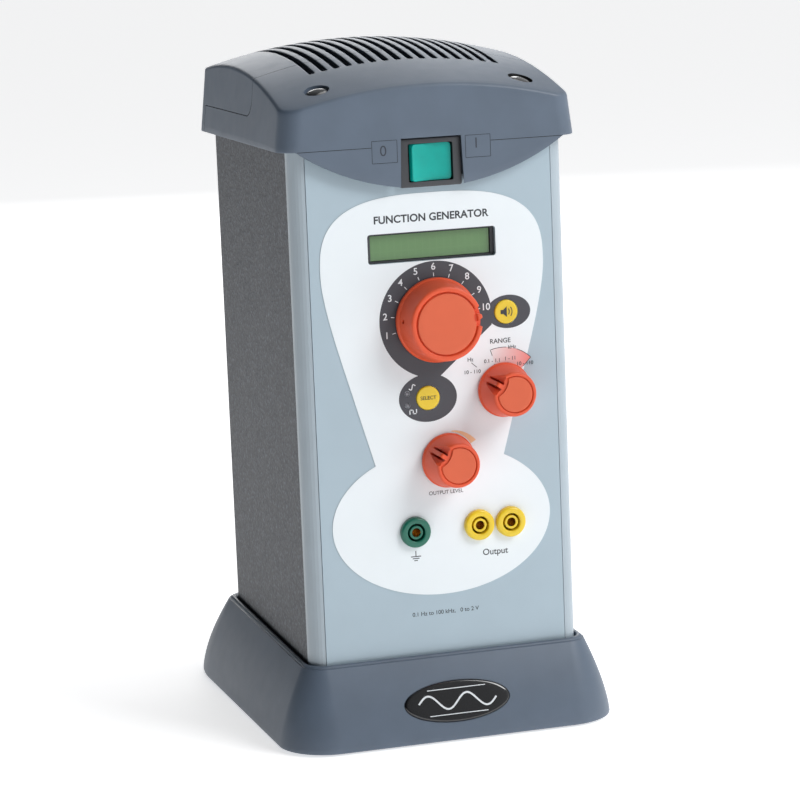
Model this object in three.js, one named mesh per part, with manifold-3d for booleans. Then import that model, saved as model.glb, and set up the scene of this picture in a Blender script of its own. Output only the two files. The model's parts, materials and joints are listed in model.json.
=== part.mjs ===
// Function generator in an upright bench case: a flared stand, a tall body with a printed
// front panel, and a vented cap that overhangs it. Millimetres, +Z up, the front faces -Y.
// The origin is the centre of the bounding box at the underside of the feet.
import * as THREE from 'three';
import { mergeVertices } from 'three/addons/utils/BufferGeometryUtils.js';
import Module from 'manifold-3d';

const wasm = await Module();
wasm.setup();

// ---------------------------------------------------------------- driving dimensions
const GAP = 0.3;                 // clearance between neighbouring pieces
const BODY_HALF_W = 69;          // body
const PANEL_Y = -90;             // front face of the panel
const BODY_BACK_Y = 60.6;
const BODY_TOP_Z = 300;
const SHEET = 2;                 // panel and plate thickness
const WRAP_T = 1.5;              // thickness of the wrapped case
const SEAM_X = 62;               // where the panel meets the corner rails
const RAIL_R = 8;                // rounding of the front corner rails
const RAIL_BACK_Y = PANEL_Y + 9.2;

const STAND = { halfW: 85.8, front: -107.4, back: 108.5, rimHalfW: 72.5, rimFront: -94, rimBack: 67,
  bottomZ: 1, rimFrontZ: 42, rimBackZ: 46, wall: 3, shelfZ: 10, shelfT: 3 };
const FOOT = { radius: 9, x: 62, frontY: -75, rearY: 45 };
const BADGE = { halfW: 27, halfH: 10, z: 20, thick: 2.4, proud: 0.8 };

const CAP = { halfW: 75.07, draft: 0.115, front: -95.4, back: 73.5, lowerZ: 293, wall: 2.6,
  frontR: 10, backR: 14, apronR: 119, apronLowZ: 271, apronBackY: PANEL_Y - GAP - 0.1 };
const CROWN = { topZ: 339.5, peakY: 13.5, curveX: 488, curveY: 669 };
const COVER = { frontY: -37.5, lowerZ: 306.5, backY: 55, cornerR: 8 };   // rear part of the cap
const VENT = { count: 16, pitch: 6.26, width: 3, front: -57.8, back: 50 };
const CAP_SCREW = { x: 51.7, y: -80.1, radius: 6 };

const SWITCH = { z: 284.3, halfW: 15.6, halfH: 11.75, face: -93.4, bodyHalfW: 13, bodyHalfH: 10.6, back: -68,
  rockerHalfW: 10.9, rockerHalfH: 8.85, pivotY: -90.5, throwDeg: 10 };

const WINDOW = { halfW: 32.4, lowZ: 236.5, highZ: 250.9, r: 1.5 };
const GLASS = { halfW: 30.2, halfH: 6, front: -86.6, back: -85 };

const KNOB_LENGTH = 17.6;        // base to front face
const KNOB_BASE_Y = PANEL_Y - 0.9;
const MAIN = { x: 0.6, z: 207.4, base: 20.8, front: 17.9, cap: 14.8, pot: 12, rest: 8 };
const RANGE = { x: 33.9, z: 170.2, base: 13.5, front: 10.7, cap: 8.7, pot: 9, rest: 147 };
const LEVEL = { x: 3.8, z: 137.8, base: 13.5, front: 10.7, cap: 8.7, pot: 8.5, rest: 145 };
const SHAFT_R = 3;
const BUSH_R = 4.6;

const BUTTON_R = 5.9;
const BUTTONS = { speaker: { x: 36.5, z: 208.4 }, select: { x: -5, z: 169.3 } };
const LEDS = { sine: { x: -15.5, z: 172.2 }, square: { x: -15.5, z: 166.2 } };
const LED_R = 1.15;
const SOCKETS = { earth: { x: -14.3, z: 103.6, color: 0x14745f },
  output_left: { x: 18.6, z: 104, color: 0xf5d22f },
  output_right: { x: 34.9, z: 104, color: 0xf5d22f } };
const SOCKET = { flangeR: 7.6, barrelR: 5.5, face: -93.2, back: -74 };
const BOARD = { front: -70, back: -68.4, halfW: 56, lowZ: 88, highZ: 228 };
const INLET = { z: 80, flangeHalfW: 15.5, flangeHalfH: 12, bodyHalfW: 13.6, bodyHalfH: 9.8,
  cavityHalfW: 12.1, cavityHalfH: 8.1, depth: 16.4, faceY: BODY_BACK_Y + GAP + SHEET, backY: 44 };

const COLORS = { plastic: 0x646e7a, panel: 0xb4c6d0, label: 0xeef2f5, rail: 0xcdd8de, wrap: 0x565c64,
  knob: 0xe8623a, rocker: 0x14b4a0, black: 0x17181a, rubber: 0x1c1c1e, metal: 0xb9bcc0, brass: 0xc9a24e,
  board: 0x1f5c38, button: 0xf8d640, glass: 0x6c9266, copper: 0xb0622e, core: 0x4a4c50, led: 0x9a9da2 };

// ---------------------------------------------------------------- solids
function signedVolume(position, index) {
  const [a, b, c] = [new THREE.Vector3(), new THREE.Vector3(), new THREE.Vector3()];
  let sum = 0;
  for (let i = 0; i < index.length; i += 3) {
    a.fromBufferAttribute(position, index[i]);
    b.fromBufferAttribute(position, index[i + 1]);
    c.fromBufferAttribute(position, index[i + 2]);
    sum += a.dot(b.cross(c)) / 6;
  }
  return sum;
}

// Closed three.js geometry to a manifold solid that faces outwards.
function solid(geometry) {
  const g = geometry.clone();
  g.deleteAttribute('normal');
  g.deleteAttribute('uv');
  const merged = mergeVertices(g, 1e-4);
  const position = merged.getAttribute('position');
  const index = Array.from(merged.getIndex().array);
  if (signedVolume(position, index) < 0) index.reverse();
  const mesh = new wasm.Mesh({ numProp: 3, vertProperties: new Float32Array(position.array),
    triVerts: new Uint32Array(index) });
  return new wasm.Manifold(mesh);
}

function geometryOf(manifold) {
  const mesh = manifold.getMesh();
  const g = new THREE.BufferGeometry();
  g.setAttribute('position', new THREE.BufferAttribute(new Float32Array(mesh.vertProperties), 3));
  g.setIndex(new THREE.BufferAttribute(new Uint32Array(mesh.triVerts), 1));
  g.computeVertexNormals();
  return g;
}

function box(x0, x1, y0, y1, z0, z1) {
  const g = new THREE.BoxGeometry(x1 - x0, y1 - y0, z1 - z0);
  g.translate((x0 + x1) / 2, (y0 + y1) / 2, (z0 + z1) / 2);
  return solid(g);
}

// Prism of a shape drawn in X and Z, from y0 (front) to y1 (back).
function prismY(shape, y0, y1, curveSegments = 6) {
  const g = new THREE.ExtrudeGeometry(shape, { depth: y1 - y0, bevelEnabled: false, curveSegments });
  g.rotateX(Math.PI / 2);
  g.translate(0, y1, 0);
  return solid(g);
}

// Prism of a shape drawn in X and Y, from z0 up to z1.
function prismZ(shape, z0, z1, curveSegments = 6) {
  const g = new THREE.ExtrudeGeometry(shape, { depth: z1 - z0, bevelEnabled: false, curveSegments });
  g.translate(0, 0, z0);
  return solid(g);
}

// Prism of a shape drawn in Y and Z, from x0 to x1.
function prismX(shape, x0, x1, curveSegments = 6) {
  const g = new THREE.ExtrudeGeometry(shape, { depth: x1 - x0, bevelEnabled: false, curveSegments });
  g.applyMatrix4(new THREE.Matrix4().set(0, 0, 1, x0, 1, 0, 0, 0, 0, 1, 0, 0, 0, 0, 0, 1));
  return solid(g);
}

function polygon(points) {
  return new THREE.Shape(points.map(([x, y]) => new THREE.Vector2(x, y)));
}

function roundedRect(x0, x1, y0, y1, r) {
  const s = new THREE.Shape();
  s.moveTo(x0 + r, y0);
  s.lineTo(x1 - r, y0);
  s.absarc(x1 - r, y0 + r, r, -Math.PI / 2, 0);
  s.lineTo(x1, y1 - r);
  s.absarc(x1 - r, y1 - r, r, 0, Math.PI / 2);
  s.lineTo(x0 + r, y1);
  s.absarc(x0 + r, y1 - r, r, Math.PI / 2, Math.PI);
  s.lineTo(x0, y0 + r);
  s.absarc(x0 + r, y0 + r, r, Math.PI, Math.PI * 1.5);
  return s;
}

// Cylinder along Y.
function rodY(x, z, r, y0, y1, segments = 16) {
  const g = new THREE.CylinderGeometry(r, r, y1 - y0, segments);
  g.translate(x, (y0 + y1) / 2, z);
  return solid(g);
}

// Solid of revolution about a line along Y through (x, z). The profile is [radius, y] pairs.
function turnedY(profile, x, z, segments = 16) {
  const g = new THREE.LatheGeometry(profile.map(([r, y]) => new THREE.Vector2(r, y)), segments);
  g.translate(x, 0, z);
  return solid(g);
}

// Solid of revolution about a vertical line through (x, y). The profile is [radius, z] pairs.
function turnedZ(profile, x, y, segments = 16) {
  const g = new THREE.LatheGeometry(profile.map(([r, z]) => new THREE.Vector2(r, z)), segments);
  g.rotateX(Math.PI / 2);
  g.translate(x, y, 0);
  return solid(g);
}

// Hexagonal nut along Y.
function nutY(x, z, acrossCorners, holeR, y0, y1) {
  return rodY(x, z, acrossCorners, y0, y1, 6).subtract(rodY(x, z, holeR, y0 - 1, y1 + 1, 12));
}

// Closed skin over rings that all have the same number of points, with fan-shaped ends.
function loft(rings) {
  const n = rings[0].length;
  const middle = (ring) => ring.reduce((sum, p) => sum.add(p), new THREE.Vector3()).divideScalar(n);
  const points = rings.flat();
  points.push(middle(rings[0]), middle(rings[rings.length - 1]));
  const [low, high] = [points.length - 2, points.length - 1];
  const last = (rings.length - 1) * n;
  const index = [];
  for (let i = 0; i < n; i++) {
    const j = (i + 1) % n;
    index.push(low, j, i, high, last + i, last + j);
    for (let k = 0; k < last; k += n) {
      index.push(k + i, k + j, k + n + j, k + i, k + n + j, k + n + i);
    }
  }
  const g = new THREE.BufferGeometry().setFromPoints(points);
  g.setIndex(index);
  return solid(g);
}

// Plan outline with elliptical corners: front corners of radius rf, rear ones rbx by rby.
function plan(halfW, front, back, rf, rbx, rby, perCorner) {
  const corners = [[halfW - rf, front + rf, rf, rf, -90], [halfW - rbx, back - rby, rbx, rby, 0],
    [-halfW + rbx, back - rby, rbx, rby, 90], [-halfW + rf, front + rf, rf, rf, 180]];
  return corners.flatMap(([cx, cy, rx, ry, start]) => Array.from({ length: perCorner }, (_, i) => {
    const a = THREE.MathUtils.degToRad(start + 90 * i / (perCorner - 1));
    return [cx + rx * Math.cos(a), cy + ry * Math.sin(a)];
  }));
}

// ---------------------------------------------------------------- flared stand
const standHeightAt = (y) => {
  const t = THREE.MathUtils.smoothstep(y, STAND.rimFront, STAND.rimBack);
  return STAND.rimFrontZ + (STAND.rimBackZ - STAND.rimFrontZ) * t;
};
const flare = (t) => Math.pow(t, 1.5);    // share of the way from the foot outline to the rim

function standRing(t, inset, perCorner) {
  const low = plan(STAND.halfW - inset, STAND.front + inset, STAND.back - inset, 25, 22, 45, perCorner);
  const high = plan(STAND.rimHalfW - inset, STAND.rimFront + inset, STAND.rimBack - inset, 10, 10, 10, perCorner);
  return low.map(([x, y], i) => {
    const px = THREE.MathUtils.lerp(x, high[i][0], flare(t));
    const py = THREE.MathUtils.lerp(y, high[i][1], flare(t));
    return new THREE.Vector3(px, py, THREE.MathUtils.lerp(STAND.bottomZ, standHeightAt(py), t));
  });
}

function badgeAt(grow) {
  const lift = (BADGE.z - STAND.bottomZ) / (STAND.rimFrontZ - STAND.bottomZ);
  const run = STAND.rimFront - STAND.front;
  const faceY = STAND.front + run * flare(lift);
  const lean = Math.atan(run * 1.5 * Math.sqrt(lift) / (STAND.rimFrontZ - STAND.bottomZ));
  const g = new THREE.CylinderGeometry(1, 1, BADGE.thick + grow, 28);
  g.scale(BADGE.halfW + grow, 1, BADGE.halfH + grow);
  g.translate(0, (BADGE.thick + grow) / 2 - BADGE.proud, 0);
  g.rotateX(-lean);
  g.translate(0, faceY, BADGE.z);
  return solid(g);
}

function makeStand() {
  const shell = loft([0, 0.2, 0.4, 0.6, 0.8, 1].map((t) => standRing(t, 0, 6)));
  const below = loft([0, 0.3, 0.6, 0.88].map((t) => {
    const ring = standRing(t, STAND.wall, 6);
    if (t === 0) ring.forEach((p) => p.setZ(STAND.bottomZ - 1));
    return ring;
  }));
  const pocket = [BODY_HALF_W + 1.2, PANEL_Y - 1.2, BODY_BACK_Y + 1.2];
  const pocketShape = roundedRect(-pocket[0], pocket[0], pocket[1], pocket[2], 9);
  const wallShape = roundedRect(-pocket[0] - 2, pocket[0] + 2, pocket[1] - 2, pocket[2] + 2, 11);
  const core = prismZ(wallShape, STAND.shelfZ - STAND.shelfT, 60);
  const cableBay = box(-40, 40, -60, 40, 0, 30);
  return shell.subtract(below.subtract(core)).subtract(prismZ(pocketShape, STAND.shelfZ, 60))
    .subtract(cableBay).subtract(badgeAt(GAP));
}

function makeFoot(x, y) {
  const top = STAND.shelfZ - STAND.shelfT - GAP;
  return turnedZ([[0, 0], [FOOT.radius - 0.8, 0], [FOOT.radius, 0.8], [FOOT.radius, top], [0, top]], x, y);
}

// ---------------------------------------------------------------- body
const BODY_LOW_Z = STAND.shelfZ + GAP;

function makeChassisPlate() {
  return prismZ(roundedRect(-66, 66, PANEL_Y + 3, BODY_BACK_Y - 3, 4), BODY_LOW_Z, BODY_LOW_Z + SHEET);
}

// Openings that the panel and its label share.
function panelCuts(grow) {
  const [y0, y1] = [PANEL_Y - 5, PANEL_Y + 5];
  const cuts = [prismY(roundedRect(-WINDOW.halfW, WINDOW.halfW, WINDOW.lowZ, WINDOW.highZ, WINDOW.r), y0, y1, 4)];
  for (const k of [MAIN, RANGE, LEVEL]) cuts.push(rodY(k.x, k.z, BUSH_R + GAP + grow, y0, y1));
  for (const b of Object.values(BUTTONS)) cuts.push(rodY(b.x, b.z, BUTTON_R + GAP, y0, y1));
  for (const l of Object.values(LEDS)) cuts.push(rodY(l.x, l.z, LED_R + GAP, y0, y1, 12));
  for (const s of Object.values(SOCKETS)) cuts.push(rodY(s.x, s.z, SOCKET.barrelR + GAP + grow, y0, y1));
  return wasm.Manifold.union(cuts);
}

function makePanel() {
  const x = SEAM_X - 0.15;
  const w = SWITCH.bodyHalfW + GAP;
  const h = SWITCH.bodyHalfH + GAP;
  return box(-x, x, PANEL_Y, PANEL_Y + SHEET, BODY_LOW_Z + SHEET + GAP, BODY_TOP_Z)
    .subtract(panelCuts(0))
    .subtract(box(-w, w, PANEL_Y - 5, PANEL_Y + 5, SWITCH.z - h, SWITCH.z + h));
}

// Printed label: a rounded upper field that narrows to a waist above an oval lower field.
function labelShape() {
  const top = { a: 56.6, b: 36.5, z: 233, power: 2 / 2.9 };
  const low = { a: 56, b: 37, z: 108, waist: 54 };
  const flank = { x: 48, z: 190.7, ctrlZ: 220.6 };
  const half = [];
  for (let i = 0; i <= 8; i++) {
    const a = THREE.MathUtils.degToRad(90 - 90 * i / 8);
    half.push([top.a * Math.pow(Math.cos(a), top.power) || 0, top.z + top.b * Math.pow(Math.sin(a), top.power)]);
  }
  const bend = new THREE.QuadraticBezierCurve(new THREE.Vector2(top.a, top.z),
    new THREE.Vector2(top.a, flank.ctrlZ), new THREE.Vector2(flank.x, flank.z));
  for (const p of bend.getPoints(4).slice(1)) half.push([p.x, p.y]);
  for (let i = 0; i <= 12; i++) {
    const a = THREE.MathUtils.degToRad(low.waist - (low.waist + 90) * i / 12);
    half.push([i === 12 ? 0 : low.a * Math.cos(a), low.z + low.b * Math.sin(a)]);
  }
  half[0][0] = 0;
  const other = half.slice(1, -1).reverse().map(([x, z]) => [-x, z]);
  return polygon([...half, ...other]);
}

function makeLabel() {
  return prismY(labelShape(), PANEL_Y - 0.3, PANEL_Y - 0.05).subtract(panelCuts(0.4));
}

function makeRail(side) {
  const x = SEAM_X + 0.15;
  const centre = [BODY_HALF_W - RAIL_R, PANEL_Y + RAIL_R];
  const arc = (r, from, to) => Array.from({ length: 8 }, (_, i) => {
    const a = THREE.MathUtils.lerp(from, to, i / 7);
    return [centre[0] + r * Math.cos(a), centre[1] + r * Math.sin(a)];
  });
  const inner = RAIL_R - SHEET;
  const outerStart = -Math.acos((x - centre[0]) / RAIL_R);
  const innerStart = -Math.acos((x - centre[0]) / inner);
  const section = [...arc(RAIL_R, outerStart, 0), [BODY_HALF_W, RAIL_BACK_Y],
    [BODY_HALF_W - SHEET, RAIL_BACK_Y], ...arc(inner, 0, innerStart)];
  return prismZ(polygon(section.map(([px, py]) => [side * px, py])), BODY_LOW_Z + SHEET + GAP, BODY_TOP_Z);
}

function makeWrap() {
  const back = { r: 6 };
  const path = (halfW, yBack, r) => {
    const arc = [];
    for (let i = 0; i <= 6; i++) {
      const a = Math.PI / 2 * i / 6;
      arc.push([halfW - r + r * Math.cos(a), yBack - r + r * Math.sin(a)]);
    }
    return arc;
  };
  const front = RAIL_BACK_Y + GAP;
  const outer = [[BODY_HALF_W, front], ...path(BODY_HALF_W, BODY_BACK_Y, back.r)];
  const inner = [[BODY_HALF_W - WRAP_T, front], ...path(BODY_HALF_W - WRAP_T, BODY_BACK_Y - WRAP_T, back.r - WRAP_T)];
  const flip = (list) => list.slice().reverse().map(([x, y]) => [-x, y]);
  const outline = [...outer, ...flip(outer), ...flip(inner).reverse(), ...inner.slice().reverse()];
  const w = INLET.bodyHalfW + GAP;
  const h = INLET.bodyHalfH + GAP;
  return prismZ(polygon(outline), BODY_LOW_Z + SHEET + GAP, BODY_TOP_Z)
    .subtract(box(-w, w, BODY_BACK_Y - 5, BODY_BACK_Y + 5, INLET.z - h, INLET.z + h));
}

// ---------------------------------------------------------------- cap
const crownAt = (x, y) => CROWN.topZ - x * x / CROWN.curveX - (y - CROWN.peakY) ** 2 / CROWN.curveY;

// Everything under the crown surface, lowered by drop.
function underCrown(drop) {
  const [nx, ny, lowZ] = [8, 8, 200];
  const at = (i, j, z) => {
    const x = THREE.MathUtils.lerp(-90, 90, i / nx);
    const y = THREE.MathUtils.lerp(-110, 100, j / ny);
    return new THREE.Vector3(x, y, z ?? crownAt(x, y) - drop);
  };
  const points = [];
  for (let j = 0; j <= ny; j++) for (let i = 0; i <= nx; i++) points.push(at(i, j));
  for (let j = 0; j <= ny; j++) for (let i = 0; i <= nx; i++) points.push(at(i, j, lowZ));
  const id = (i, j, level) => level * (nx + 1) * (ny + 1) + j * (nx + 1) + i;
  const index = [];
  const quad = (a, b, c, d) => index.push(a, b, c, a, c, d);
  for (let j = 0; j < ny; j++) {
    for (let i = 0; i < nx; i++) {
      quad(id(i, j, 0), id(i + 1, j, 0), id(i + 1, j + 1, 0), id(i, j + 1, 0));
      quad(id(i, j, 1), id(i, j + 1, 1), id(i + 1, j + 1, 1), id(i + 1, j, 1));
    }
  }
  for (let i = 0; i < nx; i++) {
    quad(id(i, 0, 1), id(i + 1, 0, 1), id(i + 1, 0, 0), id(i, 0, 0));
    quad(id(i + 1, ny, 1), id(i, ny, 1), id(i, ny, 0), id(i + 1, ny, 0));
  }
  for (let j = 0; j < ny; j++) {
    quad(id(nx, j, 1), id(nx, j + 1, 1), id(nx, j + 1, 0), id(nx, j, 0));
    quad(id(0, j + 1, 1), id(0, j, 1), id(0, j, 0), id(0, j + 1, 0));
  }
  const g = new THREE.BufferGeometry().setFromPoints(points);
  g.setIndex(index);
  return solid(g);
}

// Tapered walls of the cap, pulled in by inset, from lowZ up past the crown.
function capWalls(inset, lowZ) {
  return loft([lowZ, CAP.lowerZ + 0.01, 350].map((z) => {
    const rise = Math.max(0, z - CAP.lowerZ);
    const w = CAP.halfW - CAP.draft * rise - inset;
    const f = CAP.front + 0.015 * rise + inset;
    return plan(w, f, CAP.back - inset, CAP.frontR - inset, CAP.backR - inset, CAP.backR - inset, 5)
      .map(([x, y]) => new THREE.Vector3(x, y, z));
  }));
}

function ventSlots() {
  const cuts = [];
  for (let i = 0; i < VENT.count; i++) {
    const x = (i - (VENT.count - 1) / 2) * VENT.pitch;
    const r = VENT.width / 2;
    cuts.push(prismZ(roundedRect(x - r, x + r, VENT.front, VENT.back, r - 0.01), 300, 350, 2));
  }
  return wasm.Manifold.union(cuts);
}

// Frame at a cap screw: up along the crown's normal.
function onCrown(geometry, x, y) {
  const normal = new THREE.Vector3(2 * x / CROWN.curveX, 2 * (y - CROWN.peakY) / CROWN.curveY, 1).normalize();
  geometry.applyQuaternion(new THREE.Quaternion().setFromUnitVectors(new THREE.Vector3(0, 1, 0), normal));
  geometry.translate(x, y, crownAt(x, y));
  return solid(geometry);
}

function capScrewHole(side) {
  const g = new THREE.CylinderGeometry(CAP_SCREW.radius + GAP, CAP_SCREW.radius + GAP, 5.4, 16);
  g.translate(0, 1.1, 0);
  return onCrown(g, side * CAP_SCREW.x, CAP_SCREW.y);
}

function makeCapScrew(side) {
  const r = CAP_SCREW.radius;
  const profile = [[0, -1.3], [r, -1.3], [r, 0.2], [r * 0.93, 0.9], [r * 0.7, 1.5], [r * 0.36, 1.85], [0, 1.95]];
  const g = new THREE.LatheGeometry(profile.map(([a, b]) => new THREE.Vector2(a, b)), 16);
  return onCrown(g, side * CAP_SCREW.x, CAP_SCREW.y);
}

function coverRegion(shift) {
  const s = new THREE.Shape();
  const [y0, z0, y1] = [COVER.frontY + shift, COVER.lowerZ + shift, COVER.backY + shift];
  s.moveTo(y0, 400);
  s.lineTo(y0, z0 + COVER.cornerR);
  s.absarc(y0 + COVER.cornerR, z0 + COVER.cornerR, COVER.cornerR, Math.PI, Math.PI * 1.5);
  s.lineTo(y1, z0);
  s.lineTo(y1, 200);
  s.lineTo(120, 200);
  s.lineTo(120, 400);
  return prismX(s, -100, 100, 5);
}

function makeWholeCap() {
  const outer = capWalls(0, 262).intersect(underCrown(0));
  const hollow = capWalls(CAP.wall, CAP.lowerZ - 0.01).intersect(underCrown(CAP.wall));
  const arc = new THREE.Shape();
  const centreZ = CAP.apronLowZ + CAP.apronR;
  const meet = Math.asin(Math.sqrt(CAP.apronR ** 2 - (centreZ - CAP.lowerZ) ** 2) / CAP.apronR);
  arc.moveTo(-90, CAP.lowerZ);
  arc.lineTo(-90, 250);
  arc.lineTo(90, 250);
  arc.lineTo(90, CAP.lowerZ);
  arc.absarc(0, centreZ, CAP.apronR, -Math.PI / 2 + meet, -Math.PI / 2 - meet, true);
  const notch = SWITCH.halfW + GAP;
  return outer.subtract(hollow)
    .subtract(box(-100, 100, CAP.apronBackY, 100, 240, CAP.lowerZ))
    .subtract(prismY(arc, -100, -80, 16))
    .subtract(box(-notch, notch, -100, -80, 250, SWITCH.z + SWITCH.halfH + GAP))
    .subtract(ventSlots());
}

const wholeCap = makeWholeCap();

function makeCapFront() {
  return wholeCap.subtract(coverRegion(0)).subtract(capScrewHole(-1)).subtract(capScrewHole(1));
}

function makeCapRear() {
  const posts = [];
  for (const side of [-1, 1]) {
    for (const y of [2, 18]) {
      const g = new THREE.CylinderGeometry(1.4, 1.4, 20, 10);
      g.rotateX(Math.PI / 2);
      g.translate(side * 4 * VENT.pitch, y, SPEAKER.rimZ + GAP + 10);
      posts.push(solid(g).intersect(underCrown(1)));
    }
  }
  return wasm.Manifold.union([wholeCap.intersect(coverRegion(GAP)), ...posts]);
}

// ---------------------------------------------------------------- power switch
function makeSwitchHousing() {
  const s = SWITCH;
  const outer = prismY(roundedRect(-s.halfW, s.halfW, s.z - s.halfH, s.z + s.halfH, 1), s.face, PANEL_Y - 0.35, 3)
    .add(box(-s.bodyHalfW, s.bodyHalfW, s.face + 1, s.back, s.z - s.bodyHalfH, s.z + s.bodyHalfH));
  const w = s.rockerHalfW + 0.45;
  const h = s.rockerHalfH + 0.4;
  const well = prismY(roundedRect(-w, w, s.z - h, s.z + h, 1.2), s.face - 1, -76, 3);
  const pivot = new THREE.CylinderGeometry(1.7, 1.7, 2 * (s.rockerHalfH + 1.3), 12);
  pivot.rotateX(Math.PI / 2);
  pivot.translate(0, s.pivotY, s.z);
  return outer.subtract(well).subtract(solid(pivot));
}

// Dished rocker, pressed in at its right-hand end.
function makeRocker() {
  const s = SWITCH;
  const [w, p] = [s.rockerHalfW, s.pivotY];
  const dish = 1.5;
  const front = Array.from({ length: 9 }, (_, i) => {
    const x = THREE.MathUtils.lerp(-w + 0.3, w - 0.3, i / 8);
    return [x, p - 3 + dish * (1 - (x / w) ** 2)];
  });
  const outline = [...front, [w, p], [w - 2.4, p + 6], [2.4 - w, p + 6], [-w, p]];
  const bodySolid = prismZ(polygon(outline), s.z - s.rockerHalfH, s.z + s.rockerHalfH);
  const pin = new THREE.CylinderGeometry(1.4, 1.4, 2 * (s.rockerHalfH + 1), 12);
  pin.rotateX(Math.PI / 2);
  pin.translate(0, p, s.z);
  const g = geometryOf(bodySolid.add(solid(pin)));
  g.translate(0, -p, 0);
  g.rotateZ(THREE.MathUtils.degToRad(s.throwDeg));
  g.translate(0, p, 0);
  return solid(g);
}

// ---------------------------------------------------------------- display
const DISPLAY_Z = (WINDOW.lowZ + WINDOW.highZ) / 2;

function makeDisplayBezel() {
  const [w, h] = [GLASS.halfW + GAP, GLASS.halfH + GAP];
  return box(-35.5, 35.5, PANEL_Y + SHEET + GAP, -84.8, DISPLAY_Z - 10.5, DISPLAY_Z + 10.5)
    .subtract(box(-w, w, -100, -80, DISPLAY_Z - h, DISPLAY_Z + h));
}

function makeDisplayGlass() {
  return box(-GLASS.halfW, GLASS.halfW, GLASS.front, GLASS.back, DISPLAY_Z - GLASS.halfH, DISPLAY_Z + GLASS.halfH);
}

function makeDisplayBoard() {
  return box(-40, 40, -84.5, -82.9, DISPLAY_Z - 18, DISPLAY_Z + 18);
}

// ---------------------------------------------------------------- knobs, shafts and controls
const KNOB_FRONT_Y = KNOB_BASE_Y - KNOB_LENGTH;
const BITE = { away: 15.2, scoopR: 8, rimR: 9.6 };   // hollow beside the pointer of a small knob

const pointerAt = (k, r) => {
  const a = THREE.MathUtils.degToRad(k.rest);
  return [k.x + r * Math.cos(a), k.z + r * Math.sin(a)];
};

function knobOutside(k, segments) {
  const [b, f] = [KNOB_BASE_Y, KNOB_FRONT_Y];
  return turnedY([[0, b], [k.base, b], [k.base - 0.15, b - 1.4], [k.front + 0.6, f + 2.6],
    [k.front, f + 0.9], [k.front - 0.9, f], [0, f]], k.x, k.z, segments);
}

// Hollow from behind for the nut, a bore for the shaft, and a recess for the cap disc.
function knobInside(k, hollowR, hollowDepth, segments) {
  const [b, f] = [KNOB_BASE_Y, KNOB_FRONT_Y];
  return rodY(k.x, k.z, hollowR, b - hollowDepth, b + 1, segments)
    .add(rodY(k.x, k.z, SHAFT_R + 0.15, f + 1, b + 1));
}

function capRecess(k, grow) {
  const disc = rodY(k.x, k.z, k.cap + grow, KNOB_FRONT_Y - 1, KNOB_FRONT_Y + 2.2, 28);
  if (k === MAIN) return disc;
  const [x, z] = pointerAt(k, BITE.away);
  return disc.subtract(rodY(x, z, BITE.rimR - grow, KNOB_FRONT_Y - 2, KNOB_FRONT_Y + 4, 28));
}

function makeMainKnob() {
  const notch = new THREE.CylinderGeometry(1.5, 1.5, 3, 3);
  notch.rotateY(THREE.MathUtils.degToRad(90));
  notch.translate(MAIN.front - 0.2, KNOB_FRONT_Y, 0);
  notch.rotateY(THREE.MathUtils.degToRad(-MAIN.rest));
  notch.translate(MAIN.x, 0, MAIN.z);
  const grub = new THREE.CylinderGeometry(1.1, 1.1, 20, 12);
  grub.rotateZ(Math.PI / 2);
  grub.translate(MAIN.x - 14, KNOB_BASE_Y - 6, MAIN.z);
  return knobOutside(MAIN, 36).subtract(knobInside(MAIN, 16, 9.5, 24)).subtract(capRecess(MAIN, GAP))
    .subtract(solid(notch)).subtract(solid(grub));
}

// Small knob: hollowed on the pointer's side, with a thin fin left standing as the pointer.
function makeSmallKnob(k) {
  const outside = knobOutside(k, 28);
  const lean = Math.atan((k.base - k.front) / KNOB_LENGTH);
  const scoop = new THREE.CylinderGeometry(BITE.scoopR, BITE.scoopR, 30, 20);
  scoop.rotateZ(lean);
  scoop.translate(BITE.away + 1.6, (KNOB_BASE_Y + KNOB_FRONT_Y) / 2, 0);
  const fin = new THREE.BoxGeometry(9, KNOB_LENGTH + 2, 1.5);
  fin.translate(k.base - 4.5, (KNOB_BASE_Y + KNOB_FRONT_Y) / 2 + 2, 0);
  const front = new THREE.BoxGeometry(12, 8, 4);
  front.translate(k.base - 2, KNOB_FRONT_Y - 3.2, 0);
  for (const g of [scoop, fin, front]) {
    g.rotateY(THREE.MathUtils.degToRad(-k.rest));
    g.translate(k.x, 0, k.z);
  }
  const skirt = rodY(k.x, k.z, k.base, KNOB_BASE_Y - 1.4, KNOB_BASE_Y, 28).intersect(outside);
  const pointer = solid(fin).subtract(solid(front)).intersect(outside);
  return wasm.Manifold.union([outside.subtract(solid(scoop)), skirt, pointer])
    .subtract(knobInside(k, 8.4, 6, 16)).subtract(capRecess(k, GAP));
}

function makeKnobCap(k) {
  return capRecess(k, 0).intersect(box(-100, 100, KNOB_FRONT_Y, KNOB_FRONT_Y + 1.8, 0, 400));
}

function makeShaft(k) {
  return rodY(k.x, k.z, SHAFT_R, KNOB_FRONT_Y + 2.6, -74);
}

// Potentiometer or rotary switch: a can behind the panel and a threaded bush through it.
function makePot(k) {
  const can = PANEL_Y + SHEET + GAP;
  return turnedY([[SHAFT_R + 0.15, -95], [BUSH_R, -95], [BUSH_R, can], [k.pot, can],
    [k.pot, BOARD.front - GAP], [0, BOARD.front - GAP], [0, -73.5], [SHAFT_R + 0.15, -73.5],
    [SHAFT_R + 0.15, -95]], k.x, k.z);
}

function makePotNut(k) {
  return nutY(k.x, k.z, 7, BUSH_R + 0.25, PANEL_Y - 2.8, PANEL_Y - 0.45);
}

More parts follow.
